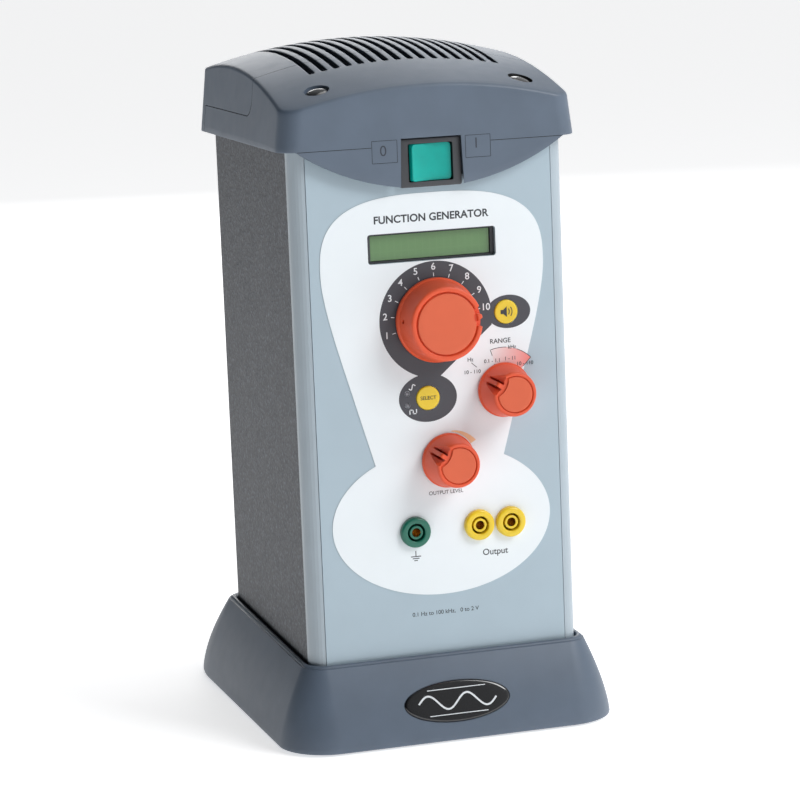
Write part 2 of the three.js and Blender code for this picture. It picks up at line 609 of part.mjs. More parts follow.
function makeButton(b) {
  return turnedY([[0, -91], [BUTTON_R - 0.5, -91], [BUTTON_R, -90.6], [BUTTON_R, -88.6], [2, -88.6],
    [2, -83.7], [0, -83.7]], b.x, b.z);
}

function makeTactSwitch(b) {
  return box(b.x - 4, b.x + 4, -83.1, BOARD.front - GAP, b.z - 4, b.z + 4);
}

function makeLed(l) {
  return turnedY([[0, -90.5], [0.7, -90.4], [LED_R, -90], [LED_R, BOARD.front - GAP],
    [0, BOARD.front - GAP]], l.x, l.z, 12);
}

// ---------------------------------------------------------------- sockets
function makeSocket(s) {
  const flangeBack = PANEL_Y - 0.4;
  return turnedY([[3.3, -92.4], [2.75, -92.4], [2.75, SOCKET.back], [SOCKET.barrelR, SOCKET.back],
    [SOCKET.barrelR, flangeBack], [SOCKET.flangeR, flangeBack], [SOCKET.flangeR, SOCKET.face + 0.9],
    [SOCKET.flangeR - 1, SOCKET.face], [5.3, SOCKET.face], [4.4, SOCKET.face + 0.9], [4.4, -80],
    [3.3, -80], [3.3, -92.4]], s.x, s.z);
}

function makeContact(s) {
  return turnedY([[2.1, -92], [2.55, -92], [2.55, -73.6], [1.2, -73.6], [1.2, BOARD.front - GAP],
    [0, BOARD.front - GAP], [0, -76], [2.1, -76], [2.1, -92]], s.x, s.z, 12);
}

function makeSocketNut(s) {
  return nutY(s.x, s.z, 8, SOCKET.barrelR + 0.25, PANEL_Y + SHEET + GAP, -84.7);
}

// ---------------------------------------------------------------- inside and rear
function makeControlBoard() {
  return box(-BOARD.halfW, BOARD.halfW, BOARD.front, BOARD.back, BOARD.lowZ, BOARD.highZ);
}

const TRANSFORMER = { halfW: 24, halfD: 11, y: 10, lowZ: BODY_LOW_Z + SHEET + GAP, height: 40, limb: 8, yoke: 8 };

function makeTransformerCore() {
  const t = TRANSFORMER;
  const top = t.lowZ + t.height;
  const window = (side) => box(side < 0 ? -t.halfW + t.yoke : t.limb, side < 0 ? -t.limb : t.halfW - t.yoke,
    -50, 50, t.lowZ + t.yoke, top - t.yoke);
  return box(-t.halfW, t.halfW, t.y - t.halfD, t.y + t.halfD, t.lowZ, top)
    .subtract(window(-1)).subtract(window(1));
}

function makeTransformerCoil() {
  const t = TRANSFORMER;
  const [w, d] = [t.halfW - t.yoke - GAP, t.halfD + 8];
  const [z0, z1] = [t.lowZ + t.yoke + GAP, t.lowZ + t.height - t.yoke - GAP];
  return prismZ(roundedRect(-w, w, t.y - d, t.y + d, 3), z0, z1, 3)
    .subtract(box(-t.limb - GAP, t.limb + GAP, t.y - t.halfD - GAP, t.y + t.halfD + GAP, z0 - 1, z1 + 1));
}

const SPEAKER = { y: 10, rimZ: 316, rimR: 28.5 };

function makeSpeakerFrame() {
  const z = SPEAKER.rimZ;
  return turnedZ([[0, z - 20], [12, z - 20], [12, z - 12], [16, z - 12], [27, z - 3], [SPEAKER.rimR, z - 3],
    [SPEAKER.rimR, z], [25.5, z], [25.5, z - 1.6], [15.2, z - 10.4], [0, z - 10.4]], 0, SPEAKER.y, 20);
}

function makeSpeakerCone() {
  const z = SPEAKER.rimZ;
  return turnedZ([[0, z - 8.6], [5, z - 8.6], [25.1, z - 0.6], [24, z - 0.4], [4.6, z - 7.6], [3.4, z - 6.4],
    [0, z - 5.8]], 0, SPEAKER.y, 20);
}

const INLET_PINS = { live: [-7, -1.6], neutral: [7, -1.6], earth: [0, 2.6] };

function inletPin([x, z], grow) {
  return box(x - 1 - grow, x + 1 + grow, 36, INLET.faceY - 2, INLET.z + z - 2 - grow, INLET.z + z + 2 + grow);
}

function makeInlet() {
  const i = INLET;
  const flange = roundedRect(-i.flangeHalfW, i.flangeHalfW, i.z - i.flangeHalfH, i.z + i.flangeHalfH, 2);
  const [w, h, cut] = [i.cavityHalfW, i.cavityHalfH, 4.5];
  const cavity = polygon([[-w, i.z - h], [w, i.z - h], [w, i.z + h - cut], [w - cut, i.z + h],
    [cut - w, i.z + h], [-w, i.z + h - cut]]);
  let inlet = prismY(flange, BODY_BACK_Y + GAP, i.faceY, 3)
    .add(box(-i.bodyHalfW, i.bodyHalfW, i.backY, i.faceY - 1, i.z - i.bodyHalfH, i.z + i.bodyHalfH))
    .subtract(prismY(cavity, i.faceY - i.depth, i.faceY + 2));
  for (const at of Object.values(INLET_PINS)) inlet = inlet.subtract(inletPin(at, 0.1));
  return inlet;
}

// ---------------------------------------------------------------- assembly
const generator = new THREE.Group();

function addPart(name, manifold, color, roughness, metalness = 0) {
  const material = new THREE.MeshStandardMaterial({ color, roughness, metalness });
  const mesh = new THREE.Mesh(geometryOf(manifold), material);
  mesh.name = name;
  generator.add(mesh);
}

addPart('base_stand', makeStand(), COLORS.plastic, 0.5);
addPart('base_badge', badgeAt(0), COLORS.black, 0.1);
for (const [side, sign] of [['left', -1], ['right', 1]]) {
  addPart(`foot_front_${side}`, makeFoot(sign * FOOT.x, FOOT.frontY), COLORS.rubber, 0.9);
  addPart(`foot_rear_${side}`, makeFoot(sign * FOOT.x, FOOT.rearY), COLORS.rubber, 0.9);
  addPart(`corner_rail_${side}`, makeRail(sign), COLORS.rail, 0.35, 0.4);
  addPart(`cap_screw_${side}`, makeCapScrew(sign), COLORS.black, 0.15);
}
addPart('chassis_plate', makeChassisPlate(), COLORS.metal, 0.4, 0.8);
addPart('front_panel', makePanel(), COLORS.panel, 0.4, 0.3);
addPart('front_label', makeLabel(), COLORS.label, 0.35);
addPart('case_wrap', makeWrap(), COLORS.wrap, 0.7, 0.2);
addPart('cap_front', makeCapFront(), COLORS.plastic, 0.5);
addPart('cap_rear', makeCapRear(), COLORS.plastic, 0.5);
addPart('switch_housing', makeSwitchHousing(), COLORS.black, 0.5);
addPart('switch_rocker', makeRocker(), COLORS.rocker, 0.2);
addPart('display_bezel', makeDisplayBezel(), COLORS.black, 0.5);
addPart('display_glass', makeDisplayGlass(), COLORS.glass, 0.15);
addPart('display_board', makeDisplayBoard(), COLORS.board, 0.6);

addPart('main_knob', makeMainKnob(), COLORS.knob, 0.4);
addPart('range_knob', makeSmallKnob(RANGE), COLORS.knob, 0.4);
addPart('level_knob', makeSmallKnob(LEVEL), COLORS.knob, 0.4);
for (const [name, k, rear] of [['main', MAIN, 'pot'], ['range', RANGE, 'switch'], ['level', LEVEL, 'pot']]) {
  addPart(`${name}_knob_cap`, makeKnobCap(k), COLORS.knob, 0.4);
  addPart(`${name}_shaft`, makeShaft(k), COLORS.metal, 0.3, 0.9);
  addPart(`${name}_${rear}`, makePot(k), COLORS.metal, 0.4, 0.8);
  addPart(`${name}_nut`, makePotNut(k), COLORS.metal, 0.3, 0.9);
}
for (const [name, b] of Object.entries(BUTTONS)) {
  addPart(`${name}_button`, makeButton(b), COLORS.button, 0.4);
  addPart(`${name}_tact_switch`, makeTactSwitch(b), COLORS.black, 0.5);
}
for (const [name, l] of Object.entries(LEDS)) addPart(`${name}_led`, makeLed(l), COLORS.led, 0.2);
for (const [name, s] of Object.entries(SOCKETS)) {
  addPart(`${name}_socket`, makeSocket(s), s.color, 0.35);
  addPart(`${name}_contact`, makeContact(s), COLORS.brass, 0.25, 0.9);
  addPart(`${name}_nut`, makeSocketNut(s), COLORS.brass, 0.3, 0.9);
}
addPart('control_board', makeControlBoard(), COLORS.board, 0.6);
addPart('transformer_core', makeTransformerCore(), COLORS.core, 0.5, 0.5);
addPart('transformer_coil', makeTransformerCoil(), COLORS.copper, 0.5, 0.3);
addPart('loudspeaker_frame', makeSpeakerFrame(), COLORS.metal, 0.4, 0.8);
addPart('loudspeaker_cone', makeSpeakerCone(), COLORS.black, 0.8);
addPart('mains_inlet', makeInlet(), COLORS.black, 0.5);
for (const [name, at] of Object.entries(INLET_PINS)) {
  addPart(`inlet_pin_${name}`, inletPin(at, 0), COLORS.metal, 0.25, 0.9);
}

export default generator;
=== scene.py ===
import json
import math

import bmesh
import bpy
import numpy as np
from mathutils import Matrix, Vector


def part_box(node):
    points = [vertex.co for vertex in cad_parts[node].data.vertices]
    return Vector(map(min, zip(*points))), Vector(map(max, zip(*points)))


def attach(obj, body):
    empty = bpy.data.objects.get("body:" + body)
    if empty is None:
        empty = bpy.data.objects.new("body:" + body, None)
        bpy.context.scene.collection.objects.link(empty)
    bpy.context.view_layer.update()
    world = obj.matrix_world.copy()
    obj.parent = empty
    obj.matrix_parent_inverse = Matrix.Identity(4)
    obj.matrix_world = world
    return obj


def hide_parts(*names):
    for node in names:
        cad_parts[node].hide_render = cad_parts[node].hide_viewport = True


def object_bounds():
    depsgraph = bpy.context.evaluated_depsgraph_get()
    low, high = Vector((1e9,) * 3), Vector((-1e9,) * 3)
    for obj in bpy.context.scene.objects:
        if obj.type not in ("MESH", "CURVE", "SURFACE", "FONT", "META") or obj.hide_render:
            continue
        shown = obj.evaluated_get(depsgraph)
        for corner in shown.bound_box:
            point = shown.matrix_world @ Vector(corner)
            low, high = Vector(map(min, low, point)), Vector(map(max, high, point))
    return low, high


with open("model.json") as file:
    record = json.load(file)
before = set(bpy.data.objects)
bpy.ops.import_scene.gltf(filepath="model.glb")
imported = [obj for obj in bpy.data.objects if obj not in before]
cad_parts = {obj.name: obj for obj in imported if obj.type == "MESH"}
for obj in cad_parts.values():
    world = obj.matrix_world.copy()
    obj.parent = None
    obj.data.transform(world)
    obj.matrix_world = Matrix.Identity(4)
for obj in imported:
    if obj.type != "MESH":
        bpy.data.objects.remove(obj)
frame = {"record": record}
CAD_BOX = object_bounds()

# ---------------------------------------------------------------- sizes, in millimetres
MM = 0.001
CROWN = {"radius_x": 244.0, "radius_y": 334.5, "peak_y": 13.5}    # the cap's dome, a shallow barrel both ways
CAP = {"draft": 0.115, "front_draft": 0.015, "rim_z": 322,
       "front_r": 10.0, "back_r": 14.0, "edge": 1.6, "wall": 2.6}
APRON = {"radius": 119.0, "thick": 4.9}
COVER = {"step": 13.5, "back_in": 18.5, "corner": 8.0, "gap": 0.35}
VENT = {"count": 16, "pitch": 6.26, "width": 3.0, "front_in": 37.6, "back_in": 23.5, "edge": 0.5}
STAND = {"side": 3.5, "front": 4.0, "back": 6.4, "rise": 4.0, "wall": 3.0, "shelf": 9.0, "gap": 1.0,
         "bay": (40, -60, 40), "corner_points": 22}    # bay: half width, front and back, as in the CAD
LABEL = {"top_b": 36.5, "power": 2.9, "low_a": 56.0, "low_b": 37.0, "waist": 54.0}
FLANK = {"x": 48.0, "drop": 42.3, "bend": 12.4}         # below the widest point of the label's upper field
WINDOW = {"side": 2.2, "rim": 1.2, "corner": 1.5}       # opening round the readout glass
PRINT = 0.03            # how far each printed layer stands off the one below
DIAL = {"radius": 28.7, "cut": -9.6, "left": 248.3, "number_r": 25.9, "number": 4.7, "tick": (21.2, 23.0),
        "first": 193.5, "step": 20.5, "hole": 4.3}
SELECT = {"a": 14.8, "b": 11.8, "neck": (108, 62), "neck_z": 8.0}
SPEAKER = {"a": 11.3, "b": 8.2, "out": 1.3}
HOLLOW = {"main": (16.0, 9.5), "small": (8.4, 6.0)}      # radius and depth behind a knob
ROCKER = {"half": 10.6, "corner": 1.8, "pin": 1.0, "tilt": 10}
# Radii of a knob's front rim and lid as shares of its outer radius, its bore, and how deep its lid is seated.
KNOB = {"main": {"front": 0.86, "lid": 0.712, "bore": 4.0, "seat": 1.3},
        "small": {"front": 0.793, "lid": 0.644, "bore": 3.6, "seat": 0.9}}
SWITCH = {"rim": 4.6, "body_in": 2.6, "well": (11.25, 9.2)}
SOCKET = {"bore": 4.4, "barrel": 5.5, "depth": 13.2}
NOTCH_GAP = 0.3         # between the cap and each side of the switch
POINTER = {"main": 8, "range": 147, "level": 145}       # degrees from +X at rest
SCALE = {"from": 45.0, "to": 107.0, "outer": 20.8, "left_end": 17.8, "right_end": 15.0, "gap": (84, 69)}
# Words round the range knob: name, text, height, direction in degrees and distance from the knob's axis.
RANGE_WORDS = [("title", "RANGE", 3.3, 92, 24.0), ("khz", "kHz", 2.6, 76, 21.2), ("hz", "Hz", 2.7, 136, 23.0),
               ("step_1", "10 - 110", 2.6, 148, 18.6), ("step_2", "0.1 - 1.1", 2.6, 110, 15.4),
               ("step_3", "1 - 11", 2.6, 75, 15.5), ("step_4", "10 - 110", 2.6, 46, 16.6)]
RANGE_TICKS = [("first", 138, 18.0, 21.6), ("second", 108, 12.0, 13.6), ("third", 78, 11.7, 13.5)]
TURN = 128              # sides of a turned piece


def box_mm(node):
    low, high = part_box(node)
    return np.array(low) / MM, np.array(high) / MM


def joint_at(name):
    """Where a joint's axis passes, in millimetres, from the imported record."""
    joint = next(j for j in frame["record"]["behaviour"]["joints"] if j["name"] == name)
    return np.array(joint["pos_m"]) / MM


def axis_of(node):
    """X and Z of the middle of a node, in millimetres."""
    low, high = box_mm(node)
    return (low[0] + high[0]) / 2, (low[2] + high[2]) / 2


LABEL_Y = box_mm("front_label")[0][1]
PANEL_Y = box_mm("front_panel")[0][1]
KNOB_BASE_Y = box_mm("main_knob")[1][1]
KNOB_FRONT_Y = box_mm("main_knob")[0][1]
SWITCH_LOW, SWITCH_HIGH = box_mm("switch_housing")


# ---------------------------------------------------------------- materials
def new_material(name, color, roughness, metallic=0.0, coat=0.0):
    material = bpy.data.materials.new(name)
    material.use_nodes = True
    shader = material.node_tree.nodes["Principled BSDF"]
    shader.inputs["Base Color"].default_value = (*color, 1)
    shader.inputs["Roughness"].default_value = roughness
    shader.inputs["Metallic"].default_value = metallic
    shader.inputs["Coat Weight"].default_value = coat
    shader.inputs["Coat Roughness"].default_value = 0.08
    return material, material.node_tree, shader


def srgb(r, g, b):
    """Eight-bit sRGB to the linear colour that a shader takes."""
    def channel(v):
        v /= 255
        return v / 12.92 if v <= 0.04045 else ((v + 0.055) / 1.055) ** 2.4
    return channel(r), channel(g), channel(b)


def noise(tree, scale, detail=3.0, stretch=(1, 1, 1)):
    """A noise texture in object space; scale is in features per metre."""
    coords = tree.nodes.new("ShaderNodeTexCoord")
    mapping = tree.nodes.new("ShaderNodeMapping")
    mapping.inputs["Scale"].default_value = stretch
    texture = tree.nodes.new("ShaderNodeTexNoise")
    texture.inputs["Scale"].default_value = scale
    texture.inputs["Detail"].default_value = detail
    tree.links.new(coords.outputs["Object"], mapping.inputs["Vector"])
    tree.links.new(mapping.outputs["Vector"], texture.inputs["Vector"])
    return texture.outputs["Fac"]


def vary_color(tree, shader, factor, low, high, start=0.3, end=0.7):
    ramp = tree.nodes.new("ShaderNodeValToRGB")
    ramp.color_ramp.elements[0].position = start
    ramp.color_ramp.elements[1].position = end
    ramp.color_ramp.elements[0].color = (*low, 1)
    ramp.color_ramp.elements[1].color = (*high, 1)
    tree.links.new(factor, ramp.inputs["Fac"])
    tree.links.new(ramp.outputs["Color"], shader.inputs["Base Color"])


def vary_roughness(tree, shader, factor, low, high):
    span = tree.nodes.new("ShaderNodeMapRange")
    span.inputs["To Min"].default_value = low
    span.inputs["To Max"].default_value = high
    tree.links.new(factor, span.inputs["Value"])
    tree.links.new(span.outputs["Result"], shader.inputs["Roughness"])


def bump(tree, shader, height, distance, strength=0.5):
    node = tree.nodes.new("ShaderNodeBump")
    node.inputs["Distance"].default_value = distance
    node.inputs["Strength"].default_value = strength
    tree.links.new(height, node.inputs["Height"])
    tree.links.new(node.outputs["Normal"], shader.inputs["Normal"])


def tint(color, factor):
    return tuple(c * factor for c in color)


def moulded_plastic(name, color, roughness, grain=2200, depth=0.00006, spread=0.05, coat=0.0):
    """Moulded plastic: faint mottling, uneven gloss and a fine spark-eroded grain."""
    material, tree, shader = new_material(name, color, roughness, coat=coat)
    vary_color(tree, shader, noise(tree, 60), tint(color, 1 - spread), tint(color, 1 + spread))
    vary_roughness(tree, shader, noise(tree, 140), roughness * 0.9, roughness * 1.12)
    bump(tree, shader, noise(tree, grain, 2.0), depth, 0.35)
    return material


def wrinkle_paint(name, color):
    """Dark textured powder coat, with painted glints: small lighter flecks of colour on its raised grains."""
    material, tree, shader = new_material(name, color, 0.55)
    grain = noise(tree, 620, 4.0)
    # painted glints: where the grain is raised, the colour is made up to three times lighter
    vary_color(tree, shader, grain, tint(color, 0.85), tint(color, 3.0), 0.5, 0.78)
    vary_roughness(tree, shader, noise(tree, 300), 0.42, 0.62)
    bump(tree, shader, grain, 0.0005, 0.6)
    return material


def brushed_metal(name, color, roughness, stretch, depth=0.00001):
    """Drawn or turned metal: fine scratches along one direction."""
    material, tree, shader = new_material(name, color, roughness, metallic=1.0)
    lines = noise(tree, 900, 2.0, stretch)
    vary_roughness(tree, shader, lines, roughness * 0.8, roughness * 1.3)
    bump(tree, shader, lines, depth, 0.3)
    return material


def display_material():
    """Readout glass: rows of character cells, which are just visible."""
    color = srgb(98, 136, 88)
    material, tree, shader = new_material("readout_green", color, 0.16, coat=0.3)
    coords = tree.nodes.new("ShaderNodeTexCoord")
    cells = tree.nodes.new("ShaderNodeTexBrick")
    cells.offset = 0
    cells.inputs["Color1"].default_value = (*tint(color, 0.975), 1)
    cells.inputs["Color2"].default_value = (*tint(color, 0.985), 1)
    cells.inputs["Mortar"].default_value = (*tint(color, 1.01), 1)
    cells.inputs["Scale"].default_value = 1.0
    cells.inputs["Mortar Size"].default_value = 0.00035
    cells.inputs["Brick Width"].default_value = 0.0036
    cells.inputs["Row Height"].default_value = 0.0062
    swap = tree.nodes.new("ShaderNodeMapping")
    swap.inputs["Rotation"].default_value = (math.pi / 2, 0, 0)
    tree.links.new(coords.outputs["Object"], swap.inputs["Vector"])
    tree.links.new(swap.outputs["Vector"], cells.inputs["Vector"])
    tree.links.new(cells.outputs["Color"], shader.inputs["Base Color"])
    vary_roughness(tree, shader, noise(tree, 90), 0.08, 0.16)
    return material


def rocker_material():
    """Tinted translucent rocker with a lamp glowing faintly behind it."""
    color = srgb(0, 152, 142)
    material, tree, shader = new_material("rocker_teal", color, 0.3, coat=0.1)
    vary_color(tree, shader, noise(tree, 90), tint(color, 0.92), tint(color, 1.1))
    vary_roughness(tree, shader, noise(tree, 260), 0.18, 0.28)
    shader.inputs["Specular IOR Level"].default_value = 0.3
    shader.inputs["Subsurface Weight"].default_value = 0.25
    shader.inputs["Subsurface Radius"].default_value = (0.002, 0.004, 0.004)
    shader.inputs["Emission Color"].default_value = (*color, 1)
    shader.inputs["Emission Strength"].default_value = 0.18
    return material


def blush_material():
    """Printed tint that deepens from white to pink towards +X."""
    material, tree, shader = new_material("blush_print", srgb(240, 170, 160), 0.45)
    coords = tree.nodes.new("ShaderNodeTexCoord")
    split = tree.nodes.new("ShaderNodeSeparateXYZ")
    across = tree.nodes.new("ShaderNodeMapRange")
    x = axis_of("range_shaft")[0]
    across.inputs["From Min"].default_value = (x - 8) * MM
    across.inputs["From Max"].default_value = (x + 14) * MM
    tree.links.new(coords.outputs["Object"], split.inputs["Vector"])
    tree.links.new(split.outputs["X"], across.inputs["Value"])
    vary_color(tree, shader, across.outputs["Result"], srgb(234, 236, 238), srgb(236, 130, 124), 0.0, 1.0)
    return material


# Key: name, 8-bit sRGB colour, roughness, grains per metre and their depth in metres, then the spread of the
# mottling and the clear coat where they are not the usual ones.
PLASTICS = {
    "shell": ("shell_grain", (91, 104, 120), 0.42, 1900, 0.00009),
    "panel": ("panel_satin", (169, 187, 198), 0.4, 3200, 0.00002, 0.015),
    "label": ("label_film", (232, 239, 243), 0.38, 5000, 0.00001, 0.008),
    "rail": ("rail_satin", (168, 181, 190), 0.3, 2600, 0.00001, 0.02),
    "knob": ("knob_orange", (224, 84, 46), 0.45, 3000, 0.00004, 0.03),
    "knob_cap": ("knob_cap_orange", (216, 96, 60), 0.55, 3400, 0.00005, 0.03),
    "dark_print": ("dark_print", (68, 69, 76), 0.45, 4000, 0.00001, 0.05),
    "white_print": ("white_print", (225, 230, 234), 0.5, 5000, 0.00001),
    "black_print": ("black_print", (52, 56, 62), 0.5, 5000, 0.00001),
    "soft_print": ("soft_print", (52, 58, 68), 0.5, 5000, 0.00001),
    "peach_print": ("peach_print", (240, 196, 150), 0.45, 5000, 0.00001),
    "button": ("button_yellow", (228, 198, 50), 0.4, 4000, 0.00002),
    "bezel": ("bezel_black", (62, 64, 68), 0.4, 2600, 0.00004),
    "black": ("black_gloss", (16, 17, 20), 0.12, 900, 0.00001, 0.05, 0.7),
    "inside": ("inside_black", (26, 28, 30), 0.5, 2000, 0.00005),
    "rubber": ("foot_rubber", (30, 30, 32), 0.8, 1600, 0.0002),
    "yellow": ("socket_yellow", (232, 200, 36), 0.3, 2600, 0.00002, 0.05, 0.2),
    "green": ("socket_green", (12, 104, 84), 0.3, 2600, 0.00002, 0.05, 0.2),
    "board": ("board_green", (30, 88, 54), 0.45, 700, 0.0001),
    "cone": ("cone_paper", (30, 30, 32), 0.85, 1400, 0.0003),
    "core": ("core_varnish", (70, 74, 80), 0.4, 1400, 0.0001),
    "lamp": ("lamp_lens", (120, 122, 128), 0.25, 1500, 0.00003),
}
MATERIALS = {key: moulded_plastic(name, srgb(*rgb), *rest) for key, (name, rgb, *rest) in PLASTICS.items()}
MATERIALS.update({
    "case": wrinkle_paint("case_wrinkle", srgb(60, 65, 72)),
    "blush_print": blush_material(),
    "copper": brushed_metal("coil_copper", srgb(176, 98, 46), 0.4, (1, 1, 14)),
    "steel": brushed_metal("plated_steel", srgb(190, 192, 196), 0.28, (1, 8, 1)),
    "brass": brushed_metal("contact_brass", srgb(196, 158, 82), 0.25, (1, 10, 1)),
    "display": display_material(),
    "rocker": rocker_material(),
})


# ---------------------------------------------------------------- mesh tools
def make_piece(name, verts, faces, material, body, nodes=(), slot=None, sharp=32):
    """A mesh from points in millimetres, smooth except over sharp edges, riding on a body."""
    mesh = bpy.data.meshes.new(name)
    mesh.from_pydata([tuple(np.asarray(v) * MM) for v in verts], [], [tuple(f) for f in faces])
    obj = bpy.data.objects.new(name, mesh)
    bpy.context.scene.collection.objects.link(obj)
    clean_mesh(obj, sharp)
    mesh.materials.append(MATERIALS[material])
    if body:
        settle(obj, body, nodes)
    return obj


def clean_mesh(obj, sharp):
    bm = bmesh.new()
    bm.from_mesh(obj.data)
    bmesh.ops.remove_doubles(bm, verts=bm.verts, dist=2e-6)
    bmesh.ops.dissolve_degenerate(bm, edges=bm.edges, dist=1e-7)
    bmesh.ops.recalc_face_normals(bm, faces=bm.faces)
    bm.to_mesh(obj.data)
    bm.free()
    obj.data.shade_smooth()
    obj.data.set_sharp_from_angle(angle=math.radians(sharp))


def settle(obj, body, nodes=()):
    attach(obj, body)
    if nodes:
        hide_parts(*nodes)


def bake(obj, sharp=None):
    """Turns an object's modifiers into its mesh."""
    bpy.context.view_layer.update()
    graph = bpy.context.evaluated_depsgraph_get()
    result = bpy.data.meshes.new_from_object(obj.evaluated_get(graph))
    obj.modifiers.clear()
    obj.data = result
    if sharp is not None:
        obj.data.shade_smooth()
        obj.data.set_sharp_from_angle(angle=math.radians(sharp))
    return obj


def carve(obj, tool, operation="DIFFERENCE", sharp=32):
    """Cuts, joins or intersects obj with tool, and removes tool."""
    modifier = obj.modifiers.new("carve", "BOOLEAN")
    modifier.operation = operation
    modifier.solver = "MANIFOLD"
    modifier.object = tool
    bake(obj, sharp)
    bpy.data.objects.remove(tool)
    return obj


def scratch(verts, faces, material="inside"):
    return make_piece("tool", verts, faces, material, None)


def soften(points, size, steps=5, closed=True):
    """A 2-D outline with each corner turned into a curve that starts size away from it."""
    pts = [np.array(p[:2], float) for p in points]
    sizes = [p[2] if len(p) > 2 else size for p in points]
    out = []
    count = len(pts)
    for i, (p, s) in enumerate(zip(pts, sizes)):
        if s <= 0 or (not closed and i in (0, count - 1)):
            out.append(tuple(p))
            continue
        before, after = pts[i - 1] - p, pts[(i + 1) % count] - p
        la, lb = np.linalg.norm(before), np.linalg.norm(after)
        a = p + before / la * min(s, la * 0.48)
        b = p + after / lb * min(s, lb * 0.48)
        for t in np.linspace(0, 1, steps):
            out.append(tuple((1 - t) ** 2 * a + 2 * t * (1 - t) * p + t * t * b))
    return out


def turned(profile, x, z, sides=TURN, closed=True, round_edges=0.4):
    """Verts and faces of a profile of [radius, y] turned about a line along Y through (x, z)."""
    points = soften(profile, round_edges, closed=closed)
    n = len(points)
    verts = []
    for k in range(sides):
        a = 2 * math.pi * k / sides
        verts += [(x + r * math.cos(a), y, z + r * math.sin(a)) for r, y in points]
    faces = []
    for k in range(sides):
        m = (k + 1) % sides
        for i in range(n if closed else n - 1):
            j = (i + 1) % n
            faces.append((k * n + i, k * n + j, m * n + j, m * n + i))
    return verts, faces


def rod(x, z, r, y0, y1, sides=64):
    return turned([(0, y0, 0), (r, y0, 0), (r, y1, 0), (0, y1, 0)], x, z, sides, closed=False)


def prism(outline, low, high, plane="xz", bevel=0.0, steps=4):
    """Verts and faces of an outline pushed from low to high, with rounded rims."""
    pts = [np.array(p[:2], float) for p in outline]
    n = len(pts)
    area = sum(pts[i][0] * pts[(i + 1) % n][1] - pts[(i + 1) % n][0] * pts[i][1] for i in range(n))
    outward = 1 if area > 0 else -1
    levels = [(low, bevel)]
    if bevel > 0:
        for t in np.linspace(0, math.pi / 2, steps)[1:]:
            levels.append((low + bevel * (1 - math.cos(t)), bevel * (1 - math.sin(t))))
        for t in np.linspace(math.pi / 2, 0, steps)[:-1]:
            levels.append((high - bevel * (1 - math.cos(t)), bevel * (1 - math.sin(t))))
    levels.append((high, bevel))
    place = {"xz": lambda a, b, d: (a, d, b),
             "xy": lambda a, b, d: (a, b, d),
             "yz": lambda a, b, d: (d, a, b)}[plane]
    verts = []
    for depth, inset in levels:
        for i, p in enumerate(pts):
            along = pts[(i + 1) % n] - pts[i - 1]
            side = np.array([along[1], -along[0]]) * outward / max(np.linalg.norm(along), 1e-9)
            q = p - side * inset
            verts.append(place(q[0], q[1], depth))
    last = (len(levels) - 1) * n
    return verts, [tuple(range(n)), tuple(range(last, last + n))] + quads(len(levels), n, closed=False)


def quads(rows, n, closed=True):
    """Faces between rows of n points, each row a loop. When closed, the last row joins the first."""
    pairs = [(k, (k + 1) % rows) for k in range(rows if closed else rows - 1)]
    return [(k * n + i, k * n + (i + 1) % n, m * n + (i + 1) % n, m * n + i)
            for k, m in pairs for i in range(n)]


def rectangle(x0, x1, z0, z1, r=0.0, steps=6):
    return soften([(x0, z0), (x1, z0), (x1, z1), (x0, z1)], r, steps)


def ellipse(cx, cz, a, b, start=0.0, end=360.0, count=96):
    angles = np.radians(np.linspace(start, end, count, endpoint=end - start < 360))
    return [(cx + a * math.cos(t), cz + b * math.sin(t)) for t in angles]


def printed(name, loops, y, material, body="case", thick=0.02, nodes=()):
    """A flat filled shape in X and Z whose front is at y. The first loop is the outline, the rest are holes."""
    curve = bpy.data.curves.new(name, "CURVE")
    curve.dimensions = "2D"
    curve.fill_mode = "BOTH"
    curve.extrude = thick / 2 * MM
    for loop in loops:
        spline = curve.splines.new("POLY")
        spline.points.add(len(loop) - 1)
        for point, (px, pz) in zip(spline.points, loop):
            point.co = (px * MM, pz * MM, 0, 1)
        spline.use_cyclic_u = True
    return flat_mesh(name, curve, (0, y + thick / 2, 0), material, body, nodes)


def close_mesh(mesh):
    """Joins the faces of a converted curve into closed solids with their normals outward."""
    bm = bmesh.new()
    bm.from_mesh(mesh)
    bmesh.ops.remove_doubles(bm, verts=bm.verts, dist=3e-7)
    bmesh.ops.recalc_face_normals(bm, faces=bm.faces)
    bm.to_mesh(mesh)
    bm.free()


def flat_mesh(name, curve, at, material, body, nodes):
    """A flat curve or text stood up to face -Y at a point, as a mesh piece."""
    source = bpy.data.objects.new(name + "_curve", curve)
    bpy.context.scene.collection.objects.link(source)
    bpy.context.view_layer.update()
    graph = bpy.context.evaluated_depsgraph_get()
    mesh = bpy.data.meshes.new_from_object(source.evaluated_get(graph))
    bpy.data.objects.remove(source)
    mesh.transform(Matrix.Rotation(math.pi / 2, 4, "X"))
    mesh.transform(Matrix.Translation([v * MM for v in at]))
    close_mesh(mesh)
    mesh.materials.clear()
    mesh.materials.append(MATERIALS[material])
    obj = bpy.data.objects.new(name, mesh)
    bpy.context.scene.collection.objects.link(obj)
    settle(obj, body, nodes)
    return obj


def lettering(name, text, size, x, z, y, material, body="case", bold=0.0, width=1.0):
    """Printed text centred on (x, z). Size is its em height."""
    font = bpy.data.curves.new(name, "FONT")
    font.body = text
    font.size = size * MM
    font.align_x = "CENTER"
    font.align_y = "CENTER"
    font.extrude = 0.01 * MM
    font.offset = bold * MM
    font.space_character = width
    return flat_mesh(name, font, (x, y + 0.01, z), material, body, ())


